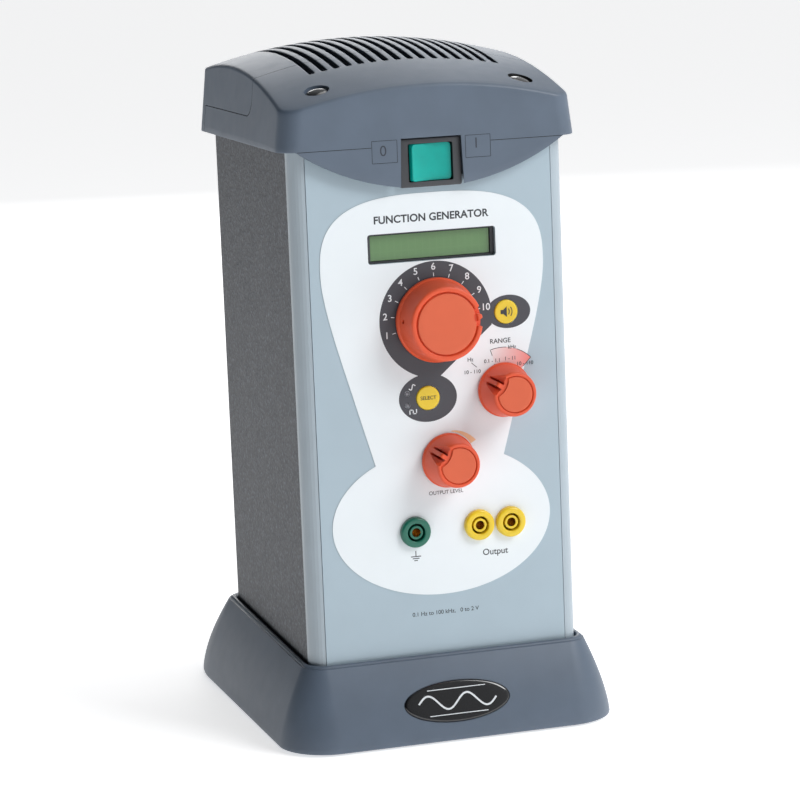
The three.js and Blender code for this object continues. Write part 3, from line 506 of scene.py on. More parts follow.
def stroke(points, width):
    """Outline of a line of even width along points in X and Z."""
    pts = [np.array(p, float) for p in points]
    left, right = [], []
    for i, p in enumerate(pts):
        d = pts[min(i + 1, len(pts) - 1)] - pts[max(i - 1, 0)]
        d /= np.linalg.norm(d)
        side = np.array([-d[1], d[0]]) * width / 2
        left.append(tuple(p + side))
        right.append(tuple(p - side))
    return left + right[::-1]


# ---------------------------------------------------------------- flared stand
def plan(half_w, front, back, rf, rbx, rby, per_corner):
    """Plan outline with elliptical corners, anticlockwise from the front right one."""
    corners = [(half_w - rf, front + rf, rf, rf, -90), (half_w - rbx, back - rby, rbx, rby, 0),
               (-half_w + rbx, back - rby, rbx, rby, 90), (-half_w + rf, front + rf, rf, rf, 180)]
    return [(cx + rx * math.cos(math.radians(a)), cy + ry * math.sin(math.radians(a)))
            for cx, cy, rx, ry, start in corners for a in np.linspace(start, start + 90, per_corner)]


def stand_rim():
    """Half width, front, back and lowest height of the stand's rim, which stands off the case it holds."""
    case_high = box_mm("case_wrap")[1]
    rim_low = box_mm("base_stand")[1][2] - STAND["rise"]
    return case_high[0] + STAND["side"], PANEL_Y - STAND["front"], case_high[1] + STAND["back"], rim_low


def blend(p, q, share):
    """Point in plan a share of the way from p to q."""
    return p[0] + (q[0] - p[0]) * share, p[1] + (q[1] - p[1]) * share


def make_stand():
    low, high = box_mm("base_stand")
    case_high = box_mm("case_wrap")[1]
    rim_half_w, rim_front, rim_back, rim_low = stand_rim()
    per, wall, gap = STAND["corner_points"], STAND["wall"], STAND["gap"]

    def rim_z(y):
        t = np.clip((y - rim_front) / (rim_back - rim_front), 0, 1)
        return rim_low + (high[2] - rim_low) * t * t * (3 - 2 * t)

    def ring(t, inset):
        """Outline at a share t of the stand's height, drawn in by inset."""
        outer = plan(high[0] - inset, low[1] + inset, high[1] - inset, 25, 22, 45, per)
        inner = plan(rim_half_w - inset, rim_front + inset, rim_back - inset, 10, 10, 10, per)
        places = [blend(p, q, t ** 1.5) for p, q in zip(outer, inner)]
        return [(x, y, low[2] + (rim_z(y) - low[2]) * t) for x, y in places]

    def level(outline, z):
        return [(x, y, z) for x, y in outline]

    def below_rim(outline, drop):
        return [(x, y, rim_z(y) - drop) for x, y in outline]

    def lip(share, drop):
        """Part of the rounded rim, a share of the way from the pocket out to the stand's side."""
        return [(*blend(p, q, share), rim_z(q[1]) - drop) for p, q in zip(pocket, top)]

    pocket = plan(case_high[0] + gap, PANEL_Y - gap, case_high[1] + gap, 9, 8, 8, per)
    sleeve = plan(case_high[0] + gap + 2, PANEL_Y - gap - 2, case_high[1] + gap + 2, 11, 10, 10, per)
    bay = plan(*STAND["bay"], 3, 3, 3, per)
    shelf = low[2] + STAND["shelf"]
    top = ring(1.0, 0.0)
    inner_share, inner_round, outer_round = 0.45, 1.2, 1.3
    rings = [level(bay, shelf), level(pocket, shelf), below_rim(pocket, 1.4)]
    for t in np.linspace(0, 1, 6):
        a = math.pi / 2 * t
        rings.append(lip(inner_share * (1 - math.cos(a)), inner_round * (1 - math.sin(a))))
    for t in np.linspace(0.2, 1, 6):
        a = math.pi / 2 * t
        rings.append(lip(inner_share + (1 - inner_share) * math.sin(a), outer_round * (1 - math.cos(a))))
    rings += [ring(t, 0) for t in np.linspace(0.965, 0.03, 30)]
    rings += [ring(0.01, 0.25), ring(0.0, 0.9), ring(0.0, wall)]
    rings += [ring(t, wall) for t in (0.2, 0.45, 0.7, 0.88)]
    rings += [below_rim(sleeve, 5.5), level(sleeve, shelf - 3), level(bay, shelf - 3)]
    verts = [p for r in rings for p in r]
    stand = make_piece("stand_moulding", verts, quads(len(rings), len(rings[0])), "shell", None, sharp=40)
    carve(stand, badge_solid("tool", 0.3, 0.3), sharp=40)
    settle(stand, "case", ["base_stand"])


def make_badge():
    settle(badge_solid("badge_oval", 0.0, 0.0), "case", ["base_badge"])
    badge_trace()


def badge_frame():
    """Middle of the badge's front face and its lean, from its CAD box."""
    low, high = box_mm("base_badge")
    foot = box_mm("base_stand")[0]
    _, rim_front, _, rim_low = stand_rim()
    rise = (high[2] - low[2]) / 2
    lift = (low[2] + rise - foot[2]) / (rim_low - foot[2])
    run = rim_front - foot[1]
    lean = math.atan(run * 1.5 * math.sqrt(lift) / (rim_low - foot[2]))
    face_y = foot[1] + run * lift ** 1.5
    return Matrix.Translation((0, face_y * MM, (low[2] + rise) * MM)) @ Matrix.Rotation(-lean, 4, "X")


def badge_solid(name, grow, deeper):
    """Domed oval plate, 0.8 mm proud of the stand."""
    low, high = box_mm("base_badge")
    half_w, half_h = (high[0] - low[0]) / 2 + grow, 10.0 + grow
    rings = [(1.0, 1.6 + deeper), (1.0, 0.0)]
    if grow == 0:
        rings += [(0.995, -0.35), (0.97, -0.6), (0.93, -0.72), (0.7, -0.79), (0.35, -0.8)]
    else:
        rings += [(1.0, -3.0)]
    sides = 96
    verts = [(half_w * s * math.cos(a), y, half_h * s * math.sin(a)) for s, y in rings
             for a in np.linspace(0, 2 * math.pi, sides, endpoint=False)]
    verts += [(0, rings[0][1], 0), (0, rings[-1][1], 0)]
    faces = quads(len(rings), sides, closed=False)
    last = (len(rings) - 1) * sides
    for i in range(sides):
        faces.append((len(verts) - 2, (i + 1) % sides, i))
        faces.append((len(verts) - 1, last + i, last + (i + 1) % sides))
    obj = make_piece(name, verts, faces, "black", None, sharp=50)
    obj.data.transform(badge_frame())
    return obj


def badge_trace():
    """A plain sine trace between two rules, printed on the badge."""
    wave = [(x, 3.6 * math.sin(x / 20 * 2 * math.pi)) for x in np.linspace(-20, 20, 81)]
    for name, loop in [("badge_wave", stroke(wave, 0.9)),
                       ("badge_rule_top", stroke([(-15, 6.3), (15, 6.3)], 0.4)),
                       ("badge_rule_low", stroke([(-15, -6.3), (15, -6.3)], 0.4))]:
        piece = printed(name, [loop], -0.84, "white_print", body="case")
        piece.data.transform(badge_frame())


# ---------------------------------------------------------------- cap
CAP_LOW, CAP_HIGH = box_mm("cap_front")
COVER_LOW, COVER_HIGH = box_mm("cap_rear")
CAP_EDGE_Z = COVER_LOW[2]
VENT_FRONT = CAP_LOW[1] + VENT["front_in"]
VENT_BACK = COVER_HIGH[1] - VENT["back_in"]


def crown(x, y):
    """Height of the cap's dome."""
    fall = x * x / (2 * CROWN["radius_x"]) + (y - CROWN["peak_y"]) ** 2 / (2 * CROWN["radius_y"])
    return COVER_HIGH[2] - 0.02 - fall


def slot_columns(y):
    """X and depth of each column of the vent patch at one y. None marks the gap between a slot's walls."""
    r = VENT["width"] / 2
    reach = min(y - VENT_FRONT, VENT_BACK - y)
    if reach <= 0:
        half, deep = 0.0, 0.0
    elif reach < r:
        half, deep = math.sqrt(r * r - (r - reach) ** 2), 1.0
    else:
        half, deep = r, 1.0
    edge = VENT["edge"]
    columns = []
    for i in range(VENT["count"]):
        centre = (i - (VENT["count"] - 1) / 2) * VENT["pitch"]
        columns.append((centre - VENT["pitch"] / 2, 0.0))
        for sign in (-1, 1):
            offsets = [(edge, 0.0), (edge * 0.45, 0.12), (edge * 0.12, 0.4), (0.0, 1.0)]
            if sign > 0:
                offsets.reverse()
            columns += [(centre + sign * (half + d), edge * drop * deep) for d, drop in offsets]
    columns.append((VENT["count"] / 2 * VENT["pitch"], 0.0))
    return columns


def vent_rows():
    r = VENT["width"] / 2
    ends = [r * (1 - math.cos(t)) for t in np.linspace(0, math.pi / 2, 7)]
    front = [VENT_FRONT + e for e in ends]
    back = [VENT_BACK - e for e in ends[::-1]]
    middle = list(np.linspace(front[-1], back[0], 62)[1:-1])
    return [VENT_FRONT - 5, VENT_FRONT - 0.5] + front + middle + back + [VENT_BACK + 0.5, VENT_BACK + 5]


def heading(a):
    return np.array([math.cos(a), math.sin(a)])


# For each side of the cap's plan: both corners, as end and sign of X, and its first angle.
CAP_SIDES = {"front": (("front", -1), ("front", 1), 225), "right": (("front", 1), ("back", 1), 315),
             "back": (("back", 1), ("back", -1), 45), "left": (("back", -1), ("front", -1), 135)}


def cap_corner(end, sign, half_w, front):
    """Middle and radius of a rounded corner of the cap's plan."""
    radius = CAP[end + "_r"]
    y = front + radius if end == "front" else COVER_HIGH[1] - radius
    return np.array([sign * (half_w - radius), y]), radius


def cap_outline(side, share, z):
    """Point of the cap's plan at height z. A side runs from mid corner to mid corner."""
    rise = max(0.0, z - CAP_EDGE_Z)
    half_w = CAP_HIGH[0] - CAP["draft"] * rise
    front = CAP_LOW[1] + CAP["front_draft"] * rise
    corner_a, corner_b, start = CAP_SIDES[side]
    first, radius_a = cap_corner(*corner_a, half_w, front)
    second, radius_b = cap_corner(*corner_b, half_w, front)
    arc_a, arc_b = radius_a * math.pi / 4, radius_b * math.pi / 4
    straight = np.linalg.norm(second - first)
    run = share * (arc_a + straight + arc_b)
    middle = math.radians(start + 45)
    if run < arc_a:
        a = math.radians(start) + run / radius_a
        return first + radius_a * heading(a), a
    if run > arc_a + straight:
        a = middle + (run - arc_a - straight) / radius_b
        return second + radius_b * heading(a), a
    begin, end = first + radius_a * heading(middle), second + radius_b * heading(middle)
    return begin + (end - begin) * (run - arc_a) / straight, middle


def lower_edge(x, y):
    """Height of the cap's lower edge: an arc across the front, cut away at the switch."""
    if y > CAP_LOW[1] + 0.8:
        return CAP_EDGE_Z
    if abs(x) < SWITCH_HIGH[0] + NOTCH_GAP:
        return SWITCH_HIGH[2] + 0.35
    centre = CAP_LOW[2] + APRON["radius"]
    drop = APRON["radius"] ** 2 - x * x
    return min(CAP_EDGE_Z, centre - math.sqrt(drop)) if drop > 0 else CAP_EDGE_Z


def make_cap():
    rows = vent_rows()
    grid = [slot_columns(y) for y in rows]
    cols = len(grid[0])
    verts = []
    for y, columns in zip(rows, grid):
        verts += [(x, y, crown(x, y) - drop) for x, drop in columns]
    faces = []
    gaps = {9 * i + 4 for i in range(VENT["count"])}
    for j in range(len(rows) - 1):
        for i in range(cols - 1):
            if i not in gaps:
                faces.append((j * cols + i, j * cols + i + 1, (j + 1) * cols + i + 1, (j + 1) * cols + i))
    last = len(rows) - 1
    ring = [("front", i / (cols - 1), i) for i in range(cols - 1)]
    ring += [("right", j / last, j * cols + cols - 1) for j in range(last)]
    ring += [("back", i / (cols - 1), last * cols + cols - 1 - i) for i in range(cols - 1)]
    ring += [("left", j / last, (last - j) * cols) for j in range(last)]
    walls = [cap_column(side, share, verts[inner]) for side, share, inner in ring]
    height = len(walls[0])
    base = len(verts)
    verts += [p for wall in walls for p in wall]
    n = len(ring)
    for k in range(n):
        m = (k + 1) % n
        here, after = base + k * height, base + m * height
        faces += [(here + h, after + h, after + h + 1, here + h + 1) for h in range(height - 1)]
        faces.append((here + height - 1, after + height - 1, ring[m][2], ring[k][2]))
    shell = make_piece("cap_shell", verts, faces, "shell", None, sharp=40)
    thicken(shell)
    return shell


def cap_column(side, share, inner):
    """Points from the lower edge up the wall, over the rounded rim and in to the vent patch."""
    notch = SWITCH_HIGH[0] + NOTCH_GAP
    (x, y), angle = cap_outline(side, share, CAP_EDGE_Z)
    if side == "front" and abs(abs(x) - notch) < 0.7:
        x = math.copysign(notch + (0.01 if abs(x) > notch else -0.01), x)
    outward = heading(angle)
    low = lower_edge(x, y)
    (rx, ry), _ = cap_outline(side, share, CAP["rim_z"])
    rim_z = crown(rx, ry)
    foot = [(0.5, 0.0), (0.12, 0.15)]
    points = [(x - outward[0] * inset, y - outward[1] * inset, low + rise) for inset, rise in foot]
    for t in np.linspace(0, 1, 12):
        z = low + 0.6 + (rim_z - CAP["edge"] - low - 0.6) * t
        (px, py), _ = cap_outline(side, share, z)
        if side == "front" and abs(abs(px) - notch) < 0.7:
            px = x
        points.append((px, py, z))
    wall = np.array(points[-1][:2])
    for t in np.linspace(0, math.pi / 2, 6)[1:]:
        p = wall - outward * CAP["edge"] * (1 - math.cos(t))
        points.append((p[0], p[1], crown(*p) - CAP["edge"] * (1 - math.sin(t)) * 0.9))
    start = np.array(points[-1][:2])
    end = np.array(inner[:2])
    for t in (0.12, 0.3, 0.55, 0.8):
        p = start + (end - start) * t
        points.append((p[0], p[1], crown(*p)))
    return points


def thicken(shell):
    """Gives the cap's skin its wall, thicker at the apron."""
    group = shell.vertex_groups.new(name="apron")
    thin = CAP["wall"] / APRON["thick"]
    for v in shell.data.vertices:
        group.add([v.index], 1.0 if v.co.z < (CAP_EDGE_Z - 1) * MM else thin, "REPLACE")
    wall = shell.modifiers.new("wall", "SOLIDIFY")
    wall.thickness = APRON["thick"] * MM
    wall.offset = -1
    wall.vertex_group = "apron"
    wall.use_even_offset = False
    bake(shell, 40)
    shell.vertex_groups.clear()


def cover_block(shift):
    """Prism that holds the rear cover: behind a step with a rounded corner."""
    y0, z0 = COVER_LOW[1] + shift, CAP_EDGE_Z + COVER["step"] + shift
    y1 = COVER_HIGH[1] - COVER["back_in"] + shift
    c = COVER["corner"]
    sweep = np.linspace(math.pi, 1.5 * math.pi, 14)
    arc = [(y0 + c + c * math.cos(a), z0 + c + c * math.sin(a)) for a in sweep]
    outline = [(y0, 400)] + arc + [(y1, z0), (y1, 200), (130, 200), (130, 400)]
    return scratch(*prism(outline, -110, 110, plane="yz"))


def block(x0, x1, y0, y1, z0, z1):
    return scratch(*prism([(x0, z0), (x1, z0), (x1, z1), (x0, z1)], y0, y1))


def grooves(shell):
    """Fine moulded lines on the front: a joint line, and a square on each side of the switch."""
    y0, y1 = CAP_LOW[1] - 1, CAP_LOW[1] + 0.16
    edge = SWITCH_HIGH[0]
    z = CAP_EDGE_Z
    lines = [(-68, -edge - 14.4, z - 0.15, z + 0.15), (edge + 14.4, 68, z - 0.15, z + 0.15)]
    for sign in (-1, 1):
        inner, outer = sorted((sign * (edge + 1.6), sign * (edge + 14.2)))
        low, high = z - 7.6, z + 3.1
        for x in (inner, outer):
            lines.append((x - 0.12, x + 0.12, low, high))
        for level in (low, high):
            lines.append((inner, outer, level - 0.12, level + 0.12))
    for x0, x1, z0, z1 in lines:
        carve(shell, block(x0, x1, y0, y1, z0, z1), sharp=40)


def screw_pocket(node):
    return on_crown(scratch(*rod(0, 0, 6.25, -6, 1.5, 64)), node)


def on_crown(obj, node):
    """Stands a piece made along -Y at the origin up along the crown's normal at a cap screw."""
    low, high = box_mm(node)
    x, y = (low[0] + high[0]) / 2, (low[1] + high[1]) / 2
    normal = Vector((x / CROWN["radius_x"], (y - CROWN["peak_y"]) / CROWN["radius_y"], 1)).normalized()
    turn = Vector((0, -1, 0)).rotation_difference(normal).to_matrix().to_4x4()
    obj.data.transform(Matrix.Translation((x * MM, y * MM, crown(x, y) * MM)) @ turn)
    return obj


def make_vent_shade_sheet():
    """Near-black sheet on top of the case that closes the cap from below: painted shade seen through the vents.
    """
    z = box_mm("case_wrap")[1][2] + 0.4
    x = CAP_HIGH[0] - CAP["wall"] - 2
    outline = rectangle(-x, x, PANEL_Y + 3, COVER_HIGH[1] - CAP["wall"] - 2, 8)
    # painted shade: a near-black sheet stands for the shade inside the cap under the vents
    shade_sheet = make_piece("vent_tray", *prism(outline, z, z + 1.4, plane="xy", bevel=0.3), "inside", None)
    settle(shade_sheet, "case", ())


def make_cap_pieces():
    shell = make_cap()
    for side in ("left", "right"):
        carve(shell, screw_pocket("cap_screw_" + side), sharp=40)
        profile = [(0, 5.2, 0), (6, 5.2), (6, 1.9), (5.4, 1.2), (4.2, 0.6), (2.2, 0.2), (0, 0.1, 0)]
        dome = turned(profile, 0, 0, 96, closed=False, round_edges=0.6)
        cover = make_piece(f"screw_cover_{side}", *dome, "black", None)
        settle(on_crown(cover, "cap_screw_" + side), "case", ["cap_screw_" + side])
    grooves(shell)
    rear = bpy.data.objects.new("cap_cover", shell.data.copy())
    bpy.context.scene.collection.objects.link(rear)
    carve(shell, cover_block(0.0), sharp=40)
    carve(rear, cover_block(COVER["gap"]), "INTERSECT", sharp=40)
    shell.name = "cap_hood"
    settle(shell, "case", ["cap_front"])
    settle(rear, "case", ["cap_rear"])
    y = CAP_LOW[1] - PRINT
    edge = SWITCH_HIGH[0]
    lettering("mark_off", "0", 7.2, -edge - 8.6, CAP_EDGE_Z - 2, y, "soft_print")
    lettering("mark_on", "I", 7.2, edge + 7.0, CAP_EDGE_Z - 1, y, "soft_print")


# ---------------------------------------------------------------- panel graphics
def label_outline():
    """Closed outline of the white label: a soft upper field, a tapering flank and a rounded lower field."""
    low, high = box_mm("front_label")
    top_a, top_z = high[0], high[2] - LABEL["top_b"]
    low_z = low[2] + LABEL["low_b"]
    power = 2 / LABEL["power"]
    right = [(top_a * math.cos(t) ** power, top_z + LABEL["top_b"] * math.sin(t) ** power)
             for t in np.linspace(math.pi / 2, 0, 64)]
    start, bend, stop = (top_a, top_z), (top_a, top_z - FLANK["bend"]), (FLANK["x"], top_z - FLANK["drop"])
    for t in np.linspace(0, 1, 16)[1:]:
        weights = (1 - t) ** 2, 2 * t * (1 - t), t * t
        right.append(tuple(sum(w * v for w, v in zip(weights, axis)) for axis in zip(start, bend, stop)))
    for a in np.radians(np.linspace(LABEL["waist"], -90, 64)):
        right.append((LABEL["low_a"] * math.cos(a), low_z + LABEL["low_b"] * math.sin(a)))
    return right + [(-x, z) for x, z in right[-2:0:-1]]


def window_loop(grow=0.0):
    low, high = box_mm("display_glass")
    side, rim = WINDOW["side"] + grow, WINDOW["rim"] + grow
    return rectangle(low[0] - side, high[0] + side, low[2] - rim, high[2] + rim, WINDOW["corner"])


def holes():
    loops = [window_loop(0.05)]
    for node, gap in [("main_shaft", 1.2), ("range_shaft", 1.0), ("level_shaft", 1.0),
                      ("speaker_button", 0.3), ("select_button", 0.3), ("sine_led", 0.1), ("square_led", 0.1)]:
        low, high = box_mm(node)
        x, z = axis_of(node)
        r = (high[0] - low[0]) / 2 + gap
        loops.append(ellipse(x, z, r, r, count=48)[::-1])
    for name in ("earth", "output_left", "output_right"):
        x, z = axis_of(name + "_socket")
        loops.append(ellipse(x, z, 5.6, 5.6, count=48)[::-1])
    return loops


def layer(n):
    """Y of the front of the nth printed layer on the label."""
    return LABEL_Y - PRINT * n


def print_dial():
    cx, cz = axis_of("main_knob")
    ex, ez = axis_of("select_button")
    sweep = ellipse(cx, cz, DIAL["radius"], DIAL["radius"], DIAL["cut"], DIAL["left"], 160)
    left, right = [ellipse(ex, ez, SELECT["a"], SELECT["b"], a, a + 1, 2)[0] for a in SELECT["neck"]]
    neck = [left, (ex, ez + SELECT["neck_z"]), right]
    shaft_hole = ellipse(cx, cz, DIAL["hole"], DIAL["hole"], count=48)[::-1]
    printed("dial_field", [sweep + neck, shaft_hole], layer(1), "dark_print")
    sx, sz = axis_of("speaker_button")
    speaker = ellipse(sx + SPEAKER["out"], sz, SPEAKER["a"], SPEAKER["b"])
    printed("speaker_field", [speaker, ellipse(sx, sz, 6.2, 6.2, count=48)[::-1]], layer(3), "dark_print")
    shape = ellipse(ex, ez, SELECT["a"], SELECT["b"], count=120)
    lamps = [ellipse(*axis_of(n), 1.3, 1.3, count=32)[::-1] for n in ("sine_led", "square_led")]
    printed("select_field", [shape, ellipse(ex, ez, 6.2, 6.2, count=48)[::-1]] + lamps, layer(2), "dark_print")
    for n in range(10):
        angle = math.radians(DIAL["first"] - DIAL["step"] * n)
        x, z = cx + DIAL["number_r"] * math.cos(angle), cz + DIAL["number_r"] * math.sin(angle)
        lettering(f"dial_number_{n + 1}", str(n + 1), DIAL["number"], x, z, layer(4), "white_print", bold=0.06)
        inner, outer = DIAL["tick"]
        ends = [np.array([cx, cz]) + heading(angle) * r for r in (inner, outer)]
        printed(f"dial_tick_{n + 1}", [stroke(ends, 0.4)], layer(4), "white_print")


def polar(centre, radius, degrees):
    a = math.radians(degrees)
    return centre[0] + radius * math.cos(a), centre[1] + radius * math.sin(a)


def print_range_scale():
    centre = axis_of("range_shaft")
    low, high, outer = SCALE["from"], SCALE["to"], SCALE["outer"]
    sector = [polar(centre, outer, a) for a in np.linspace(low, high, 40)]
    sector += [polar(centre, 5, high), polar(centre, 5, low)]
    printed("range_blush", [sector], layer(1), "blush_print")
    gap_left, gap_right = SCALE["gap"]
    left = [polar(centre, SCALE["left_end"], high)]
    left += [polar(centre, outer, a) for a in np.linspace(high, gap_left, 20)]
    right = [polar(centre, outer, a) for a in np.linspace(gap_right, low, 20)]
    right.append(polar(centre, SCALE["right_end"], low))
    printed("range_arc_left", [stroke(left, 0.3)], layer(2), "black_print")
    printed("range_arc_right", [stroke(right, 0.3)], layer(2), "black_print")
    for name, text, size, angle, distance in RANGE_WORDS:
        x, z = polar(centre, distance, angle)
        lettering("range_" + name, text, size, x, z, layer(3), "black_print", bold=0.015)
    for name, angle, inner, rim in RANGE_TICKS:
        ends = [polar(centre, inner, angle), polar(centre, rim, angle)]
        printed(f"range_tick_{name}", [stroke(ends, 0.3)], layer(3), "black_print")
    level = axis_of("level_shaft")
    sweep = np.linspace(80, 30, 40)
    rim = [polar(level, 14.5 + 2.7 * (80 - a) / 50, a) for a in sweep]
    printed("level_arc", [rim + [polar(level, 14.1, a) for a in sweep[::-1]]], layer(1), "peach_print")


def turned_point(p, degrees, at):
    a = math.radians(degrees)
    return at[0] + p[0] * math.cos(a) - p[1] * math.sin(a), at[1] + p[0] * math.sin(a) + p[1] * math.cos(a)


def lengthened(a, b, extra):
    """A segment with both ends run on, so that strokes meet in square corners."""
    a, b = np.array(a), np.array(b)
    d = (b - a) / np.linalg.norm(b - a) * extra
    return tuple(a - d), tuple(b + d)


def print_words():
    title_z = box_mm("display_glass")[1][2] + 7.8
    lettering("title", "FUNCTION GENERATOR", 5.1, 0, title_z, layer(1), "black_print", bold=0.14, width=1.02)
    kx, kz = axis_of("level_shaft")
    lettering("level_title", "OUTPUT LEVEL", 2.6, kx - 1.4, kz - 16, layer(1), "black_print", bold=0.02)
    lx, lz = axis_of("output_left_socket")
    rx, rz = axis_of("output_right_socket")
    lettering("output_title", "Output", 4.4, (lx + rx) / 2, lz - 14.4, layer(1), "black_print", bold=0.05)
    line_z = box_mm("front_label")[0][2] - 9.1
    line_y = PANEL_Y - PRINT
    lettering("range_line", "0.1 Hz to 100 kHz,   0 to 2 V", 2.9, 0, line_z, line_y, "black_print", bold=0.03)
    sx, sz = axis_of("select_button")
    wave = [(t, 1.0 * math.sin(t / 3.6 * 2 * math.pi)) for t in np.linspace(-1.8, 1.8, 33)]
    glyph = [turned_point(p, 20, (sx - 7.9, sz + 5.9)) for p in wave]
    printed("sine_glyph", [stroke(glyph, 0.5)], layer(3), "white_print")
    square = [(-1.7, -0.95), (-1.7, 0.95), (0, 0.95), (0, -0.95), (1.7, -0.95), (1.7, 0.95)]
    for n in range(len(square) - 1):
        ends = [(sx - 7.8 + a, sz - 6.2 + b) for a, b in lengthened(square[n], square[n + 1], 0.25)]
        printed(f"square_glyph_{n}", [stroke(ends, 0.5)], layer(3), "white_print")
    key_y = box_mm("select_button")[0][1]
    lettering("select_word", "SELECT", 2.5, sx, sz, key_y, "black_print", body="select_key")
    ex, ez = axis_of("earth_socket")
    printed("earth_stem", [stroke([(ex, ez - 9.6), (ex, ez - 12.4)], 0.45)], layer(1), "black_print")
    for n in range(3):
        half = 2.6 - 0.85 * n
        bar = [(ex - half, ez - 12.4 - n), (ex + half, ez - 12.4 - n)]
        printed(f"earth_bar_{n}", [stroke(bar, 0.45)], layer(1), "black_print")


def make_label():
    printed("label_white", [label_outline()] + holes(), LABEL_Y, "label", thick=0.22, nodes=["front_label"])
    print_dial()
    print_range_scale()
    print_words()


# ---------------------------------------------------------------- knobs
def turn_about(tool, turn, x, z):
    """Turns a cutter made for a pointer along +X about a knob's axis."""
    tool.data.transform(Matrix.Translation((x * MM, 0, z * MM)) @ Matrix.Rotation(math.radians(-turn), 4, "Y"))
    return tool


def knob_hollow(kind):
    """Start of a knob's profile: its bore, then the hollow behind that takes the nut and the bush."""
    bore = KNOB[kind]["bore"]
    radius, depth = HOLLOW[kind]
    return [(bore, KNOB_BASE_Y - depth, 0), (radius, KNOB_BASE_Y - depth, 0), (radius, KNOB_BASE_Y, 0)]


def make_lid(name, body, turn, x, z, radius, seat_y, dish, sides, bite):
    """Disc set into a knob's front, with a round bite taken out of it at the pointer."""
    y1 = KNOB_FRONT_Y
    back, front = seat_y + 0.3, y1 + 0.05
    disc = [(0, back, 0), (radius, back, 0), (radius, front, 0.5), (radius - dish, y1, 0.4), (0, front, 0)]
    lid = make_piece(name + "_knob_lid", *turned(disc, x, z, sides, closed=False), "knob_cap", None)
    bite_at, bite_r, bite_sides = bite
    carve(lid, turn_about(scratch(*rod(bite_at, 0, bite_r, y1 - 2, y1 + 4, bite_sides), "knob"), turn, x, z))
    settle(lid, body, [name + "_knob_cap"])


def make_main_knob(turn):
    x, z = axis_of("main_knob")
    low, high = box_mm("main_knob")
    y0, y1 = KNOB_BASE_Y, KNOB_FRONT_Y
    size = KNOB["main"]
    r0 = (high[0] - low[0]) / 2
    front, cap, depth = r0 * size["front"], r0 * size["lid"], y1 + size["seat"]
    profile = knob_hollow("main") + [
        (r0 - 1, y0, 0), (r0, y0 - 0.1), (r0, y0 - 2.4), (r0 - 0.9, y0 - 3.4), (front + 0.35, y1 + 1.2),
        (front - 0.2, y1, 0.9), (cap + 0.9, y1, 0.5), (cap + 0.55, depth, 0.3), (size["bore"], depth, 0)]
    knob = make_piece("main_knob_skirt", *turned(profile, x, z, 160, round_edges=0.7), "knob", None)
    bite = [(front - 3.9, -3.8), (r0 + 2, -7.5), (r0 + 2, 7.5), (front - 3.9, 3.8)]
    arrow = [(front - 5, -2.9), (front + 1.6, 0), (front - 5, 2.9)]
    notch = scratch(*prism(bite, y1 - 1, y1 + 7.2), "knob")
    carve(notch, scratch(*prism(arrow, y1 - 2, y1 + 11), "knob"))
    carve(knob, turn_about(notch, turn, x, z))
    hole = scratch(*rod(0, 0, 1.1, 0, 6, 32))
    hole.data.transform(Matrix.Translation(((x - front - 3.4) * MM, (y0 - 8.0) * MM, (z + 1.5) * MM))
                        @ Matrix.Rotation(math.pi / 2, 4, "Z") @ Matrix.Rotation(math.pi, 4, "X"))
    carve(knob, hole)
    settle(knob, "main_dial", ["main_knob"])
    make_lid("main", "main_dial", turn, x, z, cap, depth, 3, 128, (cap + 1.9, 3.2, 48))


def make_small_knob(name, body, turn):
    x, z = axis_of(name + "_shaft")
    y0, y1 = KNOB_BASE_Y, KNOB_FRONT_Y
    size = KNOB["small"]
    r0 = box_mm(name + "_knob")[1][0] - x
    front, cap, depth = r0 * size["front"], r0 * size["lid"], y1 + size["seat"]
    profile = knob_hollow("small") + [
        (r0 - 0.8, y0, 0), (r0, y0 - 0.1), (r0, y0 - 1.8), (r0 - 0.7, y0 - 2.6), (front + 0.3, y1 + 1.1),
        (front - 0.2, y1, 0.8), (cap + 0.5, y1, 0.4), (cap + 0.3, depth, 0.2), (size["bore"], depth, 0)]
    knob = make_piece(name + "_knob_skirt", *turned(profile, x, z, 144, round_edges=0.6), "knob", None)
    cone = [(0, y1 + 15, 0), (2.2, y1 + 15, 0), (8.3, y1, 0), (8.3, y1 - 6, 0), (0, y1 - 6, 0)]
    scoop = turn_about(scratch(*turned(cone, 15.4, 0, 96, closed=False, round_edges=1.5), "knob"), turn, x, z)

    def bar(inner, half, front_y, back_y):
        """Block along the pointer, from inner out past the knob's rim."""
        outline = [(inner, -half), (24, -half), (24, half), (inner, half)]
        return turn_about(scratch(*prism(outline, front_y, back_y), "knob"), turn, x, z)

    carve(scoop, bar(7.5, 2.1, y1 - 2, y1 + 11), "UNION")
    carve(scoop, bar(5, 1.05, y1 - 8, y0 + 3))
    carve(scoop, block(x - 20, x + 20, y0 - 2.4, y0 + 8, z - 20, z + 20))
    carve(knob, scoop, sharp=38)
    settle(knob, body, [name + "_knob"])
    make_lid(name, body, turn, x, z, cap, depth, 2, 112, (15.2, 9.6, 96))


# ---------------------------------------------------------------- switch, keys, sockets
def make_bezel():
    low, high = SWITCH_LOW, SWITCH_HIGH
    face = low[1]
    frame_loop = rectangle(low[0], high[0], low[2], high[2], 1.2)
    rim = prism(frame_loop, face, face + SWITCH["rim"], bevel=0.7, steps=5)
    bezel = make_piece("switch_bezel", *rim, "bezel", None)
    body_half = high[0] - SWITCH["body_in"]
    body = scratch(*prism(rectangle(-body_half, body_half, low[2] + 1.2, high[2] - 1.2), face + 3, high[1]))
    carve(bezel, body, "UNION")
    rx, rz = SWITCH["well"]
    mid = (low[2] + high[2]) / 2
    well = scratch(*prism(rectangle(-rx, rx, mid - rz, mid + rz, 0.9), face - 3, face + 13))
    carve(bezel, well)
    settle(bezel, "case", ["switch_housing"])


